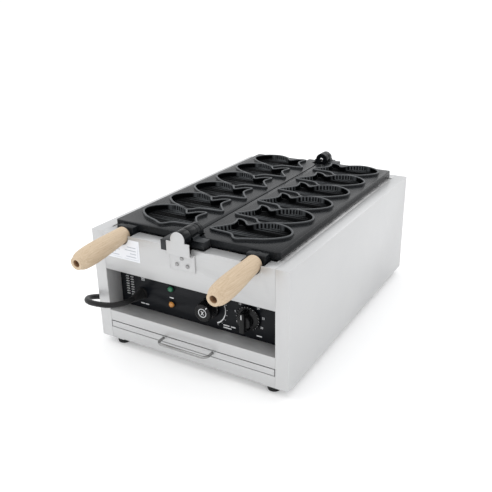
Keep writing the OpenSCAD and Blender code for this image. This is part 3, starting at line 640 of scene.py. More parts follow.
# ---------- mould plates ----------
PLATE_LOW = high("right_side_panel").z + 0.0003
RIM = AXIS - 0.0003
RIM_RISE, RIM_WIDTH = 0.0045, 3.5
FACE = RIM - RIM_RISE
FLOOR = RIM - 0.019
ROWS = 6
FRONT_MARGIN, REAR_MARGIN = 0.018, 0.010
PLATE_START = high("front_hinge_bracket").y + 0.0285
PLATE_END = BACK - 0.016
PLATE_OUT = high("right_mould_plate").x
PLATE_IN = low("right_mould_plate").x
PITCH = (PLATE_END - PLATE_START - FRONT_MARGIN - REAR_MARGIN) / ROWS
FISH_TAIL = (PLATE_IN / MM) + 11.5 + RIM_WIDTH / 2
FISH_LENGTH = (PLATE_OUT / MM) - 13.5 - RIM_WIDTH / 2 - FISH_TAIL
FISH = [
    (0, -0.25), (0.075, -0.11), (0.14, 0.03), (0.17, 0.13), (0.165, 0.265), (0.14, 0.42),
    (0.185, 0.445), (0.27, 0.375), (0.355, 0.225), (0.405, 0.29), (0.45, 0.4), (0.54, 0.49),
    (0.645, 0.55), (0.755, 0.535), (0.875, 0.45), (0.965, 0.3), (1, 0.14), (0.98, -0.01),
    (0.905, -0.165), (0.785, -0.32), (0.665, -0.405), (0.57, -0.465), (0.47, -0.55), (0.415, -0.52),
    (0.365, -0.42), (0.315, -0.365), (0.22, -0.34), (0.1, -0.325), (0.015, -0.3)]
FISH_STEPS = 12


def fish_line():
    """The rim's middle line in millimetres, a smooth closed curve through the fish's points."""
    rows = [Vector((FISH_TAIL + FISH_LENGTH * x, y * PITCH / MM)) for x, y in FISH]
    found = []
    for index in range(len(rows)):
        a, b, c, d = (rows[(index + k) % len(rows)] for k in (-1, 0, 1, 2))
        for step in range(FISH_STEPS):
            t = step / FISH_STEPS
            found.append((2 * b + (c - a) * t + (2 * a - 5 * b + 4 * c - d) * t ** 2
                          + (3 * b - a - 3 * c + d) * t ** 3) / 2)
    return found


LINE = fish_line()


def flute(point):
    """How high a flute stands, 0 to 1, where the rim passes a point: along the back fin and the tail."""
    share, row = (point.x - FISH_TAIL) / FISH_LENGTH, point.y / (PITCH / MM)
    if row > 0.2 and 0.39 < share < 0.76:
        return (0.5 + 0.5 * cos(tau * point.x / 5.8)) ** 2 * min(1, (share - 0.39) * 14, (0.76 - share) * 14)
    if share < 0.155 and row > 2 * share - 0.27:
        return (0.5 + 0.5 * cos(tau * point.x / 3.9)) ** 2
    return 0.0


def fish_ring(outwards, flutes=0.0):
    """The rim's middle line moved outwards; flutes narrow it in waves."""
    found = []
    for index, point in enumerate(LINE):
        along = (LINE[(index + 1) % len(LINE)] - LINE[index - 1]).normalized()
        found.append(point + Vector((-along.y, along.x)) * (outwards - flutes * flute(point)))
    return without_loops(found)


def without_loops(ring):
    """Pulls the points of a small crossed loop, as an offset makes at a sharp tip, onto its crossing."""
    count = len(ring)
    for start in range(count):
        for span in range(2, 19):
            a, b = ring[start], ring[(start + 1) % count]
            c, d = ring[(start + span) % count], ring[(start + span + 1) % count]
            crossing = intersect_line_line_2d(a, b, c, d)
            if crossing is not None and (a - b).length > 1e-6 and (c - d).length > 1e-6:
                for k in range(1, span + 1):
                    ring[(start + k) % count] = crossing.copy()
                break
    return ring


# The mould's shell from its underside, over the rim and down to the floor: offset and height
FOOT = RIM_WIDTH / 2 + 0.9
SHELL = [
    (-4.6, RIM - 0.0225, 0), (-1.6, RIM - 0.0223, 0), (0.2, RIM - 0.0214, 0), (1.4, RIM - 0.0196, 0),
    (1.9, PLATE_LOW, 0), (FOOT, PLATE_LOW + 0.0004, 0), (FOOT, FACE, 0),
    (FOOT - 0.45, FACE + 0.0005, 0), (FOOT - 0.75, FACE + 0.0016, 0), (1.78, RIM - 0.0004, 0), (1.45, RIM, 0),
    (-1.35, RIM, 0), (-1.72, RIM - 0.0004, 0), (-1.92, RIM - 0.0018, 0.5), (-2.15, RIM - 0.0048, 1.2),
    (-2.5, RIM - 0.0088, 1.4)]


def ridge(gap, width):
    """Height of a rounded ridge at a distance from its middle."""
    return max(0.0, 1 - (gap / width) ** 2)


def fish_relief(x, y, inside):
    """Height in millimetres that the fish's marks stand above its floor."""
    share, row = (x - FISH_TAIL) / FISH_LENGTH, y / (PITCH / MM)
    edge = min(1.0, inside / 3)
    found = 0.0
    head = hypot(x - (FISH_TAIL + 0.90 * FISH_LENGTH), y - 2.0)
    if 0.30 < share < 0.72 and head > 24:
        column = int(x // 6.6)
        across = ((y / 7.6 + 0.5 * (column % 2)) % 1 - 0.5) * 7.6
        found += 0.9 * ridge(hypot(6.6 - x % 6.6 - 1.2, across) - 4.3, 0.95) * edge
    if x < FISH_TAIL + 0.92 * FISH_LENGTH:
        found += 1.5 * ridge(head - 22, 1.3) * edge + 0.8 * ridge(head - 18.6, 0.9) * edge
    eye = hypot(x - (FISH_TAIL + 0.885 * FISH_LENGTH), y - 14)
    found += 1.3 * ridge(eye - 4.2, 1.1) + 1.5 * ridge(eye, 2.4)
    if share > 0.90:
        found += 1.1 * ridge(y - 2 - (share - 0.95) * 20, 1.0) * edge
    if share < 0.27:
        fan = atan2(y, FISH_TAIL + 0.33 * FISH_LENGTH - x)
        lines = x / 4.0 if row < -0.05 else fan * 5.2
        found += 1.1 * (0.5 + 0.5 * cos(tau * lines)) * edge * min(1, (0.27 - share) * 16)
    if row < -0.2 and 0.37 < share < 0.60:
        found += 1.2 * max(0, 1 - inside / 11) * (0.5 + 0.5 * cos(tau * x / 4.8))
    return found


def fish_shell():
    """One mould: underside, rim and walls as one band, closed by a flat floor."""
    count, bands = len(LINE), len(SHELL)
    bpy.ops.mesh.primitive_grid_add(x_subdivisions=count, y_subdivisions=bands - 1, size=0.1)
    piece = bpy.context.object
    piece.name = "fish_mould"
    for band, (outwards, height, flutes) in enumerate(SHELL):
        ring = fish_ring(outwards, flutes)
        for index in range(count + 1):
            point = ring[index % count]
            piece.data.vertices[band * (count + 1) + index].co = (point.x * MM, point.y * MM, height)
    edit(piece)
    bpy.ops.mesh.remove_doubles(threshold=0.000004)
    bpy.ops.object.mode_set(mode="OBJECT")
    mesh = piece.data
    top_ring = [v.index for v in mesh.vertices if abs(v.co.z - SHELL[-1][1]) < 1e-6]
    low_ring = [v.index for v in mesh.vertices if abs(v.co.z - SHELL[0][1]) < 1e-6]
    for ring in (low_ring, top_ring):
        edit(piece)
        bpy.ops.mesh.select_all(action="DESELECT")
        bpy.ops.object.mode_set(mode="OBJECT")
        for index in ring:
            mesh.vertices[index].select = True
        bpy.ops.object.mode_set(mode="EDIT")
        bpy.ops.mesh.edge_face_add()
        bpy.ops.object.mode_set(mode="OBJECT")
    return piece


def cut_floor(piece, spacing):
    """Divides the mould's floor into narrow strips along X, then hollows it.

    The cuts across X do not take, so the fish's marks show only where a strip has points.
    """
    floor_z = SHELL[-1][1]
    edge_line = fish_ring(SHELL[-1][0], SHELL[-1][2])
    edge_tree = KDTree(4 * len(edge_line))
    for index, point in enumerate(edge_line):
        for k in range(4):
            place = point.lerp(edge_line[(index + 1) % len(edge_line)], k / 4)
            edge_tree.insert((place.x, place.y, 0), 4 * index + k)
    edge_tree.balance()
    edit(piece, "FACE")
    xs = [v.co.x for v in piece.data.vertices]
    ys = [v.co.y for v in piece.data.vertices]
    for axis, values in ((0, xs), (1, ys)):
        place = min(values) + spacing
        while place < max(values):
            bpy.ops.mesh.select_all(action="DESELECT")
            bpy.ops.object.mode_set(mode="OBJECT")
            for face in piece.data.polygons:
                face.select = abs(face.center.z - floor_z) < 1e-6
            bpy.ops.object.mode_set(mode="EDIT")
            co = (place, 0, floor_z) if axis == 0 else (0, place, floor_z)
            no = (1, 0, 0) if axis == 0 else (0, 1, 0)
            bpy.ops.mesh.bisect(plane_co=co, plane_no=no, threshold=0.000001)
            place += spacing
    bpy.ops.object.mode_set(mode="OBJECT")
    line_tree = KDTree(len(LINE))
    for index, point in enumerate(LINE):
        line_tree.insert((point.x, point.y, 0), index)
    line_tree.balance()
    # This attribute lightens the coat: painted highlight on the flute crests and on a patch near the eye, a
    # little wear on the raised marks, and on the rim tops partly wear, partly painted highlight.
    worn = piece.data.attributes.new("worn", "FLOAT", "POINT")
    inner = set()
    for vertex in piece.data.vertices:
        x, y, z = vertex.co.x / MM, vertex.co.y / MM, vertex.co.z
        nearest = LINE[line_tree.find((x, y, 0))[1]]
        share = (nearest.x - FISH_TAIL) / FISH_LENGTH
        crest = flute(nearest)
        glint = 0.5 * max(0.0, 1 - ((share - 0.77) / 0.04) ** 2) if nearest.y > 20 else 0.0
        if abs(z - floor_z) < 1e-6:
            inside = edge_tree.find((x, y, 0))[2]
            marks = fish_relief(x, y, inside) + 1.7 * crest * max(0, 1 - inside / 9)
            hollow = min(1.0, inside / 15)
            depth = (floor_z - FLOOR) / MM * (1 - (1 - hollow) ** 2) ** 0.5
            vertex.co.z = floor_z - (depth - min(depth * 0.8, marks)) * MM
            inner.add(vertex.index)
            # Floor beside the flutes and the eye: painted highlight.
            edge_glint = (crest * 0.9 + glint) * max(0, 1 - inside / 5)
            worn.data[vertex.index].value = edge_glint + 0.06 * min(1, marks)
        elif z > RIM - 0.0005:
            # Rim tops lighter: partly wear, partly painted highlight.
            worn.data[vertex.index].value = 0.42
        elif z > floor_z and (x - nearest.x, y - nearest.y) != (0, 0):
            across = Vector((x, y)) - nearest
            along = LINE[(LINE.index(nearest) + 1) % len(LINE)] - nearest
            if across.x * -along.y + across.y * along.x < 0:
                # Inner wall: painted highlight on the flute crests and near the eye.
                worn.data[vertex.index].value = crest * 0.8 + glint
                inner.add(vertex.index)
    piece.data.materials.append(FINISH["coated_casting"])
    piece.data.materials.append(FINISH["mould_coat_painted_darker"])
    # Faces inside each fish take the darker copy of the coat: painted shade.
    for face in piece.data.polygons:
        if all(index in inner for index in face.vertices):
            face.material_index = 1
    edit(piece)
    close_edit()
    return piece


def plate_plan():
    """Outline of the right-hand plate in millimetres: round outer corners, cut-outs at the pivots."""
    x0, x1, y0, y1 = PLATE_IN / MM, PLATE_OUT / MM, PLATE_START / MM, PLATE_END / MM
    front_cut, rear_cut, cut_x, corner = 18, 19, 15, 6
    found = [(cut_x, y0)]
    for centre_y, start in ((y0 + corner, -90), (y1 - corner, 0)):
        for k in range(9):
            angle = radians(start + 90 * k / 8)
            found.append((x1 - corner + corner * cos(angle), centre_y + corner * sin(angle)))
    return found + [(cut_x, y1), (cut_x, y1 - rear_cut), (x0, y1 - rear_cut), (x0, y0 + front_cut),
                    (cut_x, y0 + front_cut)]


def cast_plates():
    """Both castings: slab, six moulds and the tang that the handle screws to."""
    slab = plan_prism("right_plate_casting", plate_plan(), PLATE_LOW, FACE)
    slab.data.materials.append(FINISH["coated_casting"])
    round_edges(slab, 0.0009, 2)
    mould = cut_floor(fish_shell(), 0.00135)
    only(mould)
    bpy.ops.object.shade_smooth_by_angle(angle=radians(44))
    hole = [(p.x, p.y) for p in fish_ring(FOOT)]
    moulds = []
    for row in range(ROWS):
        across = PLATE_START + FRONT_MARGIN + (row + 0.5) * PITCH
        cutter = plan_prism("mould_hole", hole, PLATE_LOW - 0.002, FACE + 0.002)
        cutter.data.transform(Matrix.Translation((0, across, 0)))
        modify(slab, "BOOLEAN", object=cutter, operation="DIFFERENCE", solver="EXACT")
        bpy.data.objects.remove(cutter)
        moulds.append(copy_of(mould, f"right_mould_{row}", (0, across, 0)))
    bpy.data.objects.remove(mould)
    only(slab)
    bpy.ops.object.shade_smooth_by_angle(angle=radians(38))
    half = 0.017
    tang = block("tang", (HANDLE_X - half, NECK.y + 0.0016, NECK.z - 0.013),
                 (HANDLE_X + half, PLATE_START + 0.004, FACE - 0.0025), 0.0014, 3)
    collar_profile = [(0, -16), (11.2, -16), (11.8, -14), (11.8, -1.2), (11.2, -0.2), (0, -0.2)]
    collar = turned("tang_collar", collar_profile, 48, NECK, ALONG_HANDLE)
    for piece in (tang, collar):
        piece.data.materials.append(FINISH["coated_casting"])
    casting = joined("right_plate_casting", slab, tang, collar, *moulds)
    twin = copy_of(casting, "left_plate_casting", flipped=True)
    for piece, side in ((casting, "right"), (twin, "left")):
        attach(piece, f"{side}_plate")
        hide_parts(f"{side}_mould_plate")


# ---------- handles ----------
TILT = radians(5.2)
ALONG_HANDLE = (pi / 2 + TILT, 0, 0)
HANDLE_AXIS = Vector((0, -cos(TILT), -sin(TILT)))
NECK = middle("right_handle_rod") - 0.0395 * HANDLE_AXIS
HANDLE_X = NECK.x
HANDLE_LENGTH, HANDLE_RADIUS, NECK_RADIUS = 119, 17.5, 14


def wooden_handles():
    """Turned beech handles: waisted neck, swelling grip and a bored flat end."""
    neck, grip, length = NECK_RADIUS, HANDLE_RADIUS, HANDLE_LENGTH
    outside = [
        (4.2, 0), (neck - 3.2, 0), (neck - 1.6, 0.5), (neck - 0.5, 1.8), (neck, 4), (neck + 0.3, 12),
        (neck + 0.9, 24), (neck + 1.7, 38), (grip - 1.0, 52), (grip - 0.35, 66), (grip, 78), (grip - 0.15,
                                                                                              90),
        (grip - 0.75, 100), (grip - 1.7, 107), (grip - 3.0, 111), (grip - 4.6, 113.2), (grip - 6.5, length),
        (6.9, length), (6.2, length - 0.7), (6.2, length - 33), (4.2, length - 33)]
    handle = turned("right_beech_handle", outside + [(4.2, 0)], 64, NECK, ALONG_HANDLE, 30)
    twin = copy_of(handle, "left_beech_handle", flipped=True)
    keep_piece(handle, "right_plate", "beech", "right_beech", "right_handle")
    keep_piece(twin, "left_plate", "beech", "left_beech", "left_handle")
    bore = turned("right_handle_bore", [(5.9, length - 1.4), (6.1, length - 1.4), (6.1, length - 32.8),
                                        (5.9, length - 32.8), (5.9, length - 1.4)], 40, NECK, ALONG_HANDLE)
    twin = copy_of(bore, "left_handle_bore", flipped=True)
    keep_piece(bore, "right_plate", "beech", "bored_beech")
    keep_piece(twin, "left_plate", "beech", "bored_beech")


wooden_handles()
cast_plates()


# ---------- hinges and rivets ----------
def hinge_pieces():
    """Arms and sleeve with cast edges, brackets, pins with domed ends, and the rivets."""
    for node in ("left_hinge_arms", "right_hinge_arms"):
        formed(node, 0.0011, None, 3)
    sleeve_low, sleeve_high = low("front_pivot_sleeve"), high("front_pivot_sleeve")
    length = (sleeve_high.y - sleeve_low.y) / MM
    rings = [(4.1, 0), (12.6, 0), (13.4, 0.8), (13.4, length / 2 - 1), (12.7, length / 2 - 0.5),
             (12.7, length / 2 + 0.5), (13.4, length / 2 + 1), (13.4, length - 0.8), (12.6, length),
             (4.1, length), (4.1, 0)]
    sleeve = turned("grooved_front_sleeve", rings, 48, (0, sleeve_low.y, AXIS), BACKWARDS, 30)
    keep_piece(sleeve, "cabinet", "coated_casting", None, "front_pivot_sleeve")
    for node in ("front_hinge_bracket", "rear_hinge_bracket"):
        formed(node, 0.00045, None, 2)
    for node in ("front_pivot_pin", "rear_pivot_pin"):
        start, end = low(node).y, high(node).y
        long = (end - start) / MM
        rod = [(0, 0), (2.2, 0.05), (3.3, 0.3), (3.95, 1), (3.95, long - 1), (3.3, long - 0.3),
               (2.2, long - 0.05), (0, long)]
        pin = turned(f"domed_{node}", rod, 32, (0, start, AXIS), BACKWARDS, 40)
        keep_piece(pin, BODY[node], SLOT[node], None, node)
    rivets()


def rivets():
    """Domed rivets, three through each bracket; the flat head is inside the cabinet."""
    bracket = 0.002
    dome = (FRONT - bracket - low("bracket_rivets").y) / MM
    profile = [
        (0, -4.7), (3.2, -4.7), (3.5, -4.4), (3.5, -3.25), (1.58, -3.2), (1.58, 0), (3.45, 0), (3.45, 0.5),
        (3.2, dome * 0.62), (2.4, dome * 0.86), (1.2, dome * 0.97), (0, dome)]
    made = []
    for x, z in ((0, -17), (-10.5, -29), (10.5, -29)):
        made.append(turned("rivet", profile, 28, (x * MM, FRONT - bracket, TOP + z * MM), OUT, 50))
        made.append(turned("rivet", profile, 28, (x * MM, BACK + bracket, TOP + z * MM), BACKWARDS, 50))
    # The rivets take the darker copy of the steel: painted shade.
    keep_piece(joined("domed_rivets", *made), "cabinet", "bright_steel", "wire_painted_darker", "bracket_rivets")


# ---------- sheet steel and fittings ----------
FORMED = {
    "left_side_panel": 0.0006, "right_side_panel": 0.0006, "front_upper_panel": 0.00045,
    "lower_front_panel": 0.00045, "bottom_front_rail": 0.00045, "rear_panel": 0.0004, "base_pan": 0.0003,
    "recess_cheeks": 0.0002, "heater_bay": 0.0003, "left_plate_ledge": 0.0003, "right_plate_ledge": 0.0003,
    "element_supports": 0.0003, "crumb_tray": 0.0004, "tray_runners": 0.0003, "control_panel": 0.0002,
    "thermostat_body": 0.0008, "timer_body": 0.0008, "terminal_block": 0.0010, "tray_pull_nuts": 0.0003,
    "left_handle_nut": 0.0003, "right_handle_nut": 0.0003, "foot_screws": 0.0003, "blank_label": 0.0001}
NODE_FINISH = {
    "left_side_panel": "stainless_side", "right_side_panel": "stainless_side",
    "recess_cheeks": "recess_steel", "supply_leads": "copper",
    "left_handle": "left_beech", "right_handle": "right_beech"}


def sheet_pieces():
    for node, width in FORMED.items():
        formed(node, width, NODE_FINISH.get(node))


def wire_pull():
    """The tray's handle: one drawn wire with even bends, swept as a round curve."""
    left, right = low("tray_pull"), high("tray_pull")
    radius = (right.z - left.z) / 2
    x0, x1, y0, y1 = left.x + radius, right.x - radius, right.y, left.y + radius
    z, bend = left.z + radius, 0.010
    data = bpy.data.curves.new("drawn_wire_pull", "CURVE")
    data.dimensions = "3D"
    data.bevel_depth = radius
    data.bevel_resolution = 6
    data.resolution_u = 10
    data.use_fill_caps = True
    spline = data.splines.new("BEZIER")
    spline.bezier_points.add(5)
    reach = bend * 0.5523
    knots = [
        ((x0, y0), (0, 0.003), (0, -0.003)), ((x0, y1 + bend), (0, 0.003), (0, -reach)),
        ((x0 + bend, y1), (-reach, 0), (0.01, 0)), ((x1 - bend, y1), (-0.01, 0), (reach, 0)),
        ((x1, y1 + bend), (0, -reach), (0, 0.003)), ((x1, y0), (0, -0.003), (0, 0.003))]
    for knot, (place, before, after) in zip(spline.bezier_points, knots):
        knot.handle_left_type = knot.handle_right_type = "FREE"
        knot.co = (*place, z)
        knot.handle_left = (place[0] + before[0], place[1] + before[1], z)
        knot.handle_right = (place[0] + after[0], place[1] + after[1], z)
    pull = bpy.data.objects.new("drawn_wire_pull", data)
    bpy.context.scene.collection.objects.link(pull)
    only(pull)
    bpy.ops.object.convert(target="MESH")
    edit(pull)
    close_edit()
    bpy.ops.object.shade_smooth_by_angle(angle=radians(50))
    # The pull takes the darker copy of the steel: painted shade.
    keep_piece(pull, "tray", "bright_steel", "wire_painted_darker", "tray_pull")


def rubber_feet():
    """Four ribbed rubber feet."""
    inset = [(sx * (high("rubber_feet").x - 0.013), y) for sx in (-1, 1)
             for y in (low("rubber_feet").y + 0.013, high("rubber_feet").y - 0.013)]
    tall = high("rubber_feet").z / MM
    profile = [(4.7, 0), (10.0, 0), (11.0, 0.8), (11.5, 3), (12.0, 6), (11.6, 6.4), (12.2, 7.2), (12.7, 10),
               (13, 11.6), (12.9, tall - 0.4), (12.4, tall), (2.2, tall), (2.2, 4.2), (4.7, 4.2), (4.7, 0)]
    first = turned("ribbed_feet", profile, 36)
    feet = [copy_of(first, f"foot_{k}", (x, y, 0)) for k, (x, y) in enumerate(inset)]
    bpy.data.objects.remove(first)
    keep_piece(joined("ribbed_feet", *feet), "cabinet", "foot_rubber", None, "rubber_feet")


def panel_screws():
    """Cross-recessed screws that hold the rear panel."""
    box_low, box_high = low("rear_panel_screws"), high("rear_panel_screws")
    profile = [(0, -5), (1.45, -4.6), (1.5, 0), (3.2, 0), (3.2, 0.5), (2.7, 1.1), (1.6, 1.5), (0, 1.6)]
    first = turned("cross_screw", profile, 24)
    slots = [block("slot", (-0.0013, -0.00025, 0.0009), (0.0013, 0.00025, 0.002)),
             block("slot", (-0.00025, -0.0013, 0.0009), (0.00025, 0.0013, 0.002))]
    for slot in slots:
        modify(first, "BOOLEAN", object=slot, operation="DIFFERENCE", solver="EXACT")
        bpy.data.objects.remove(slot)
    settle(first, (0, 0, 0), BACKWARDS)
    z_places = (box_low.z + 0.0032, (box_low.z + box_high.z) / 2, box_high.z - 0.0032)
    made = []
    for sx in (-1, 1):
        for z in z_places:
            made.append(copy_of(first, "screw", (sx * (box_high.x - 0.0032), BACK, z)))
    bpy.data.objects.remove(first)
    keep_piece(joined("cross_screws", *made), "cabinet", SLOT["rear_panel_screws"], None, "rear_panel_screws")


# ---------- controls ----------
KNOB_GAP = 0.0012
KNOB_BACK = PANEL - KNOB_GAP


def fluted(piece, centre, count, inner, depth, z0, z1):
    """Presses shallow grooves into the side of a turned knob that still stands on Z."""
    for vertex in piece.data.vertices:
        radius = hypot(vertex.co.x, vertex.co.y)
        if radius > inner and z0 < vertex.co.z < z1:
            wave = 1 - depth * (0.5 + 0.5 * cos(count * atan2(vertex.co.y, vertex.co.x))) ** 3 / radius
            vertex.co.x *= wave
            vertex.co.y *= wave
    return settle(piece, centre, OUT)


def tick(name, centre, radius, angle, length, width, depth, back):
    """A short raised mark that points at the knob's centre; the angle is clockwise from straight up."""
    mark = block(name, (-width / 2, back - depth, radius - length / 2),
                 (width / 2, back, radius + length / 2), min(width, depth) * 0.3, 1)
    mark.data.transform(Matrix.Rotation(angle, 4, "Y"))
    mark.data.transform(Matrix.Translation((centre.x, 0, centre.z)))
    return mark


def thermostat():
    """Round knob: flanged skirt, grooved side, dished face with a ring and a pointer."""
    profile = [
        (3.1, 0), (18.0, 0), (18.45, 0.4), (18.45, 4.6), (17.9, 5.8), (17.0, 6.4), (16.8, 7.4), (16.6, 12),
        (16.4, 17), (16.1, 22), (15.6, 23.9), (14.6, 24.8), (13.2, 25), (12.6, 24.6), (12.3, 24.1), (0, 23.9),
        (0, 14), (3.1, 14), (3.1, 0)]
    knob = turned("thermostat_grip", profile, 120, smooth=32)
    fluted(knob, (THERMOSTAT.x, KNOB_BACK, THERMOSTAT.z), 30, 0.0150, 0.0006, 0.0066, 0.0236)
    keep_piece(knob, "thermostat_control", "knob_black", None, "thermostat_knob")
    ring = turned("thermostat_face_ring", [(6.9, 23.6), (6.9, 24.4), (7.2, 24.55), (7.7, 24.55), (8.0, 24.4),
                                           (8.0, 23.6), (6.9, 23.6)], 48,
                  (THERMOSTAT.x, KNOB_BACK, THERMOSTAT.z), OUT)
    face = KNOB_BACK - 0.0238
    bars = [tick("face_mark", THERMOSTAT, 0.0, radians(a), 0.0085, 0.0011, 0.0006, face) for a in (35, -35)]
    pointer = tick("pointer", THERMOSTAT, 0.0139, radians(38), 0.0038, 0.0015, 0.0006, KNOB_BACK - 0.0246)
    rim_ticks = [tick("rim_tick", THERMOSTAT, 0.01765, radians(a), 0.0012, 0.0007, 0.0004, KNOB_BACK - 0.0052)
                 for a in range(10, 100, 15)]
    marks = joined("thermostat_marks", ring, pointer, *bars, *rim_ticks)
    keep_piece(marks, "thermostat_control", "label_white", "marking_white")


def timer():
    """Bar-grip timer knob on a wide bevelled skirt with ticks."""
    skirt = turned("timer_grip", [
        (3.1, 0), (21.4, 0), (21.95, 0.5), (21.95, 2.6), (21.3, 3.6), (19.0, 5.6), (16.5, 6.6), (14.2, 7.4),
        (13.2, 8.6), (12.9, 10.5), (12.6, 17), (11.8, 18.6), (10.4, 19), (0, 19), (0, 14), (3.1,
                                                                                            14), (3.1, 0)],
        96, (TIMER.x, KNOB_BACK, TIMER.z), OUT, 32)
    bar = block("timer_bar", (TIMER.x - 0.0059, KNOB_BACK - 0.0249, TIMER.z - 0.0189),
                (TIMER.x + 0.0059, KNOB_BACK - 0.0052, TIMER.z + 0.0189))
    for vertex in bar.data.vertices:
        if vertex.co.y < KNOB_BACK - 0.02:
            vertex.co.x = TIMER.x + (vertex.co.x - TIMER.x) * 0.78
            vertex.co.z = TIMER.z + (vertex.co.z - TIMER.z) * 0.93
    round_edges(bar, 0.0019, 4)
    keep_piece(joined("timer_grip", skirt, bar), "timer_control", "knob_black", None, "timer_knob")
    line = tick("timer_pointer", TIMER, 0.0118, 0, 0.0085, 0.0013, 0.0004, KNOB_BACK - 0.0247)
    ticks = [tick("skirt_tick", TIMER, 0.0203, radians(a), 0.0018, 0.0007, 0.0003, KNOB_BACK - 0.0040)
             for a in range(-150, 151, 15)]
    keep_piece(joined("timer_marks", line, *ticks), "timer_control", "label_white", "marking_white")


def lamps():
    """Pilot lamps: a black bezel ring and a faceted dome."""
    for node, place, finish in (("green_lamp", GREEN, "green_lens"), ("amber_lamp", AMBER, "amber_lens")):
        centre = (place.x, PANEL, place.z)
        bezel = turned(f"{node}_bezel", [(4.9, 0), (6.3, 0), (6.45, 0.3), (6.4, 1.3), (5.9, 1.6), (5.4, 1.5),
                                         (4.9, 0.9), (4.9, 0)], 40, centre, OUT)
        keep_piece(bezel, "cabinet", "black_plastic")
        dome = turned(f"{node}_dome", [(0, 0), (5.2, 0), (5.3, 1.6), (5.0, 3.1), (4.2, 4.3), (3.1, 5.1),
                                       (1.6, 5.55),
                                       (0, 5.65)], 40, centre, OUT, 50)
        keep_piece(dome, "cabinet", finish, finish, node)


def cord_entry():
    """Hexagon gland nut with a knurled collar, and a ribbed tapering strain relief."""
    collar = [(5.1, -14), (7.9, -14), (7.9, 0), (10.6, 0), (10.95, 0.4), (10.95, 1.4), (10.5, 1.8),
              (10.95, 2.2),
              (10.95, 3.4), (10.4, 3.95), (5.1, 3.95), (5.1, -14)]
    gland = turned("collared_gland", collar, 48, (GLAND.x, PANEL, GLAND.z), OUT, 30)
    nut = turned("gland_nut", [(8.0, -6.4), (11.6, -6.4), (11.9, -6.1), (11.9, -1.8), (11.6, -1.5), (8.0,
                                                                                                     -1.5),
                               (8.0, -6.4)], 6, (GLAND.x, PANEL, GLAND.z), OUT, 20)
    keep_piece(joined("collared_gland", gland, nut), "cabinet", SLOT["cable_gland"], None, "cable_gland")
    boot_back, long = high("strain_relief_boot").y, 24
    profile = [(5.06, 0), (8.7, 0)]
    for k in range(7):
        at = 1.0 + 3.1 * k
        radius = 9 - 2.5 * at / long
        profile += [(radius, at), (radius - 0.1, at + 1.6), (radius - 1.0, at + 2.0), (radius - 1.05,
                                                                                       at + 2.7)]
    profile += [(6.5, long - 1.2), (6.2, long - 0.3), (5.8, long), (5.06, long), (5.06, 0)]
    boot = turned("ribbed_boot", profile, 36, (GLAND.x, boot_back, GLAND.z), OUT, 30)
    keep_piece(boot, "cabinet", SLOT["strain_relief_boot"], None, "strain_relief_boot")


def cord_plug():
    """Moulded plug: ribbed neck, fluted grip and a flat face with two plated pins."""
    start = low("plug_body")
    centre = middle("plug_body")
    place = (centre.x, start.y, centre.z)
    body = turned("moulded_plug", [
        (0, 0), (5.9, 0), (6.3, 0.5), (6.6, 2.6), (5.9, 3.2), (6.0, 4.2), (6.9, 4.6), (7.2, 6.8), (6.5, 7.4),
        (6.6, 8.4), (7.6, 8.8), (7.9, 11), (7.2, 11.6), (7.3, 12.6), (8.3, 13), (8.8, 17.5), (9.6, 21),
        (11.6, 27), (13.2, 33), (14.6, 38.6), (15.6, 40.2), (16.6, 41.2), (16.95, 42.4), (16.95,
                                                                                          48), (16.5, 49.4),
        (15.6, 49.95), (0, 49.95)], 64, smooth=34)
    for vertex in body.data.vertices:
        if 0.022 < vertex.co.z < 0.040:
            radius = hypot(vertex.co.x, vertex.co.y)
            if radius > 0.004:
                wave = 1 - 0.0005 * (0.5 + 0.5 * cos(16 * atan2(vertex.co.y, vertex.co.x))) / radius
                vertex.co.x *= wave
                vertex.co.y *= wave
    settle(body, place, BACKWARDS)
    keep_piece(body, "cabinet", SLOT["plug_body"], None, "plug_body")
    pins = []
    for side in (-1, 1):
        profile = [(0, -2), (2.38, -2), (2.38, 17), (2.0, 18.3), (1.2, 18.9), (0, 19)]
        pins.append(turned("pin", profile, 24, (centre.x + side * 0.0095, start.y + 0.050, centre.z),
                           BACKWARDS, 40))
    return [body, keep_piece(joined("turned_pins", *pins), "cabinet", SLOT["plug_pins"], None, "plug_pins")]


# ---------- panel marks ----------
def panel_bar(x, z, width, height, depth=0.0002):
    """A low raised bar on the control panel, centred on x and z in millimetres."""
    return block("panel_bar", ((x - width / 2) * MM, PANEL - depth, (z - height / 2) * MM),
                 ((x + width / 2) * MM, PANEL + 0.0001, (z + height / 2) * MM), 0.00006, 1)


def scale_arc():
    """The thermostat's scale: an arc that widens towards its lower end."""
    bpy.ops.mesh.primitive_grid_add(x_subdivisions=48, y_subdivisions=1, size=0.1)
    arc = bpy.context.object
    arc.name = "scale_arc"
    for index, vertex in enumerate(arc.data.vertices):
        share = (index % 49) / 48
        angle = radians(20 - 85 * share)
        width = (0.5 + 2.1 * share) / 2 * MM
        radius = 0.0300 + (width if index >= 49 else -width)
        vertex.co = (THERMOSTAT.x + radius * cos(angle), PANEL - 0.0002, THERMOSTAT.z + radius * sin(angle))
    edit(arc)
    bpy.ops.mesh.extrude_region_move(TRANSFORM_OT_translate={"value": (0, 0.0003, 0)})
    close_edit()
    return arc


def numeral(text, x, z, size):
    """A number of the timer's scale, made from a text curve."""
    bpy.ops.object.text_add()
    number = bpy.context.object
    number.data.body = text
    number.data.size = size
    number.data.align_x = "CENTER"
    number.data.align_y = "CENTER"
    number.data.extrude = 0.0001
    only(number)
    bpy.ops.object.convert(target="MESH")
    return settle(number, (x, PANEL - 0.00012, z), OUT)


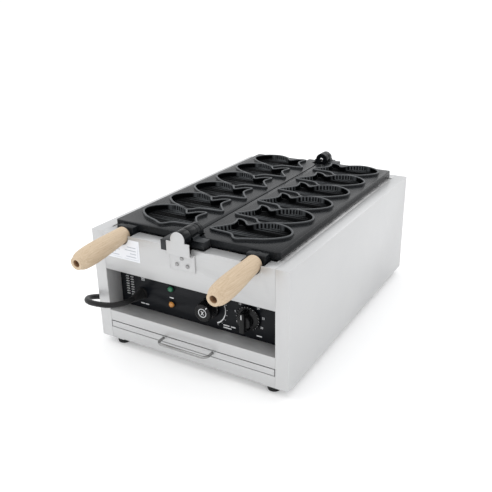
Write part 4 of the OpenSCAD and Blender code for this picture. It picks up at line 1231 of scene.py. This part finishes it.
def vent_lips_painted_highlight():
    """Pressed lips under the vent slots, coloured with the white marking ink as a painted highlight where
    they catch the light.
    """
    lips = []
    for column in (16.5, 27.2):
        for row in range(8):
            x, z = -POST / MM + column, THERMOSTAT.z / MM - 17 + 5 * row
            lip = block("vent_lip", ((x - 3.4) * MM, PANEL - 0.0007, (z + 0.1) * MM),
                        ((x + 3.4) * MM, PANEL + 0.0011, (z + 1.1) * MM), 0.0003, 2)
            lips.append(lip)
    # The lips take the white marking ink: painted highlight.
    keep_piece(joined("vent_lips_painted_highlight", *lips), "cabinet", "stainless", "marking_white")


def panel_marks():
    """White marks of the control panel; the bars stand where a maker's words would be."""
    tz = THERMOSTAT.z / MM
    gx, gz = GLAND.x / MM, GLAND.z / MM
    lamp_x, lamp_z = GREEN.x / MM, (GREEN.z + AMBER.z) / 2 / MM
    marks = [scale_arc(), panel_bar(gx + 3, tz + 17.5, 6.6, 0.7), panel_bar(gx + 3, tz + 23.5, 6.6, 0.7),
             panel_bar(gx + 0.05, tz + 20.5, 0.7, 6.6), panel_bar(gx + 5.95, tz + 20.5, 0.7, 6.6),
             panel_bar(gx + 3, tz + 20.5, 2.4, 2.4)]
    for x in (gx - 15, gx - 7):
        marks.append(turned("panel_dot", [(0, 0), (1.2, 0), (1.15, 0.15), (0, 0.22)], 20,
                            (x * MM, PANEL, (gz - 9) * MM), OUT))
    for x, z, width in ((gx - 1.5, gz - 20.5, 9), (gx + 8.5, gz - 20.5, 8), (lamp_x, lamp_z - 2.5, 8.5),
                        (54 + 4, tz - 27.5, 12), (54 + 17.5, tz - 27.5, 9), (54 + 6, tz - 32, 16),
                        (122, tz - 30.5, 10)):
        marks.append(panel_bar(x, z, width, 2.0))
    for angle in range(20, -66, -17):
        at = radians(angle)
        mark = block("scale_tick", (0.0322, PANEL - 0.0002, -0.00025), (0.0346, PANEL + 0.0001, 0.00025),
                     0.00005, 1)
        mark.data.transform(Matrix.Rotation(-at, 4, "Y"))
        mark.data.transform(Matrix.Translation((THERMOSTAT.x, 0, THERMOSTAT.z)))
        marks.append(mark)
    for value, angle in enumerate(range(-120, 121, 40)):
        at = radians(angle)
        marks.append(numeral(str(value * 5), TIMER.x + 0.0272 * sin(at), TIMER.z + 0.0272 * cos(at), 0.0052))
    keep_piece(joined("panel_marks", *marks), "cabinet", "label_white", "marking_white")


def label_bars():
    """Grey bars and a thin frame on the blank label, with no words."""
    left, right = low("blank_label"), high("blank_label")
    front = left.y

    def bar(x0, x1, z0, z1):
        return block("label_bar", (x0, front - 0.00006, z0), (x1, front + 0.00004, z1), 0.00002, 1)
    x0, x1, z0, z1 = left.x + 0.003, left.x + 0.036, left.z + 0.003, right.z - 0.004
    bars = [bar(x0, x1, z0, z0 + 0.0005), bar(x0, x0 + 0.0005, z0, z1), bar(x0, x1, z1 - 0.0005, z1)]
    for k, width in enumerate((0.026, 0.021, 0.026, 0.017, 0.024)):
        z = z1 - 0.006 - 0.0052 * k
        bars.append(bar(x0 + 0.003, x0 + 0.003 + width, z - 0.0016, z))
    x2, x3, z3 = left.x + 0.041, right.x - 0.0035, right.z - 0.009
    bars += [bar(x2, x3, z0, z0 + 0.0006), bar(x3 - 0.0006, x3, z0, z3)]
    for k, width in enumerate((0.019, 0.024, 0.013, 0.022)):
        z = z3 - 0.004 - 0.0058 * k
        bars.append(bar(x3 - 0.004 - width, x3 - 0.004, z - 0.0015, z))
    keep_piece(joined("label_bars", *bars), "cabinet", "label_white", "label_grey")


hinge_pieces()
sheet_pieces()
wire_pull()
rubber_feet()
panel_screws()
thermostat()
timer()
lamps()
cord_entry()
plug_pieces = cord_plug()
vent_lips_painted_highlight()
panel_marks()
label_bars()
for node_name, node_object in frame["nodes"].items():
    finish_with(node_object, NODE_FINISH.get(node_name, SLOT[node_name]))
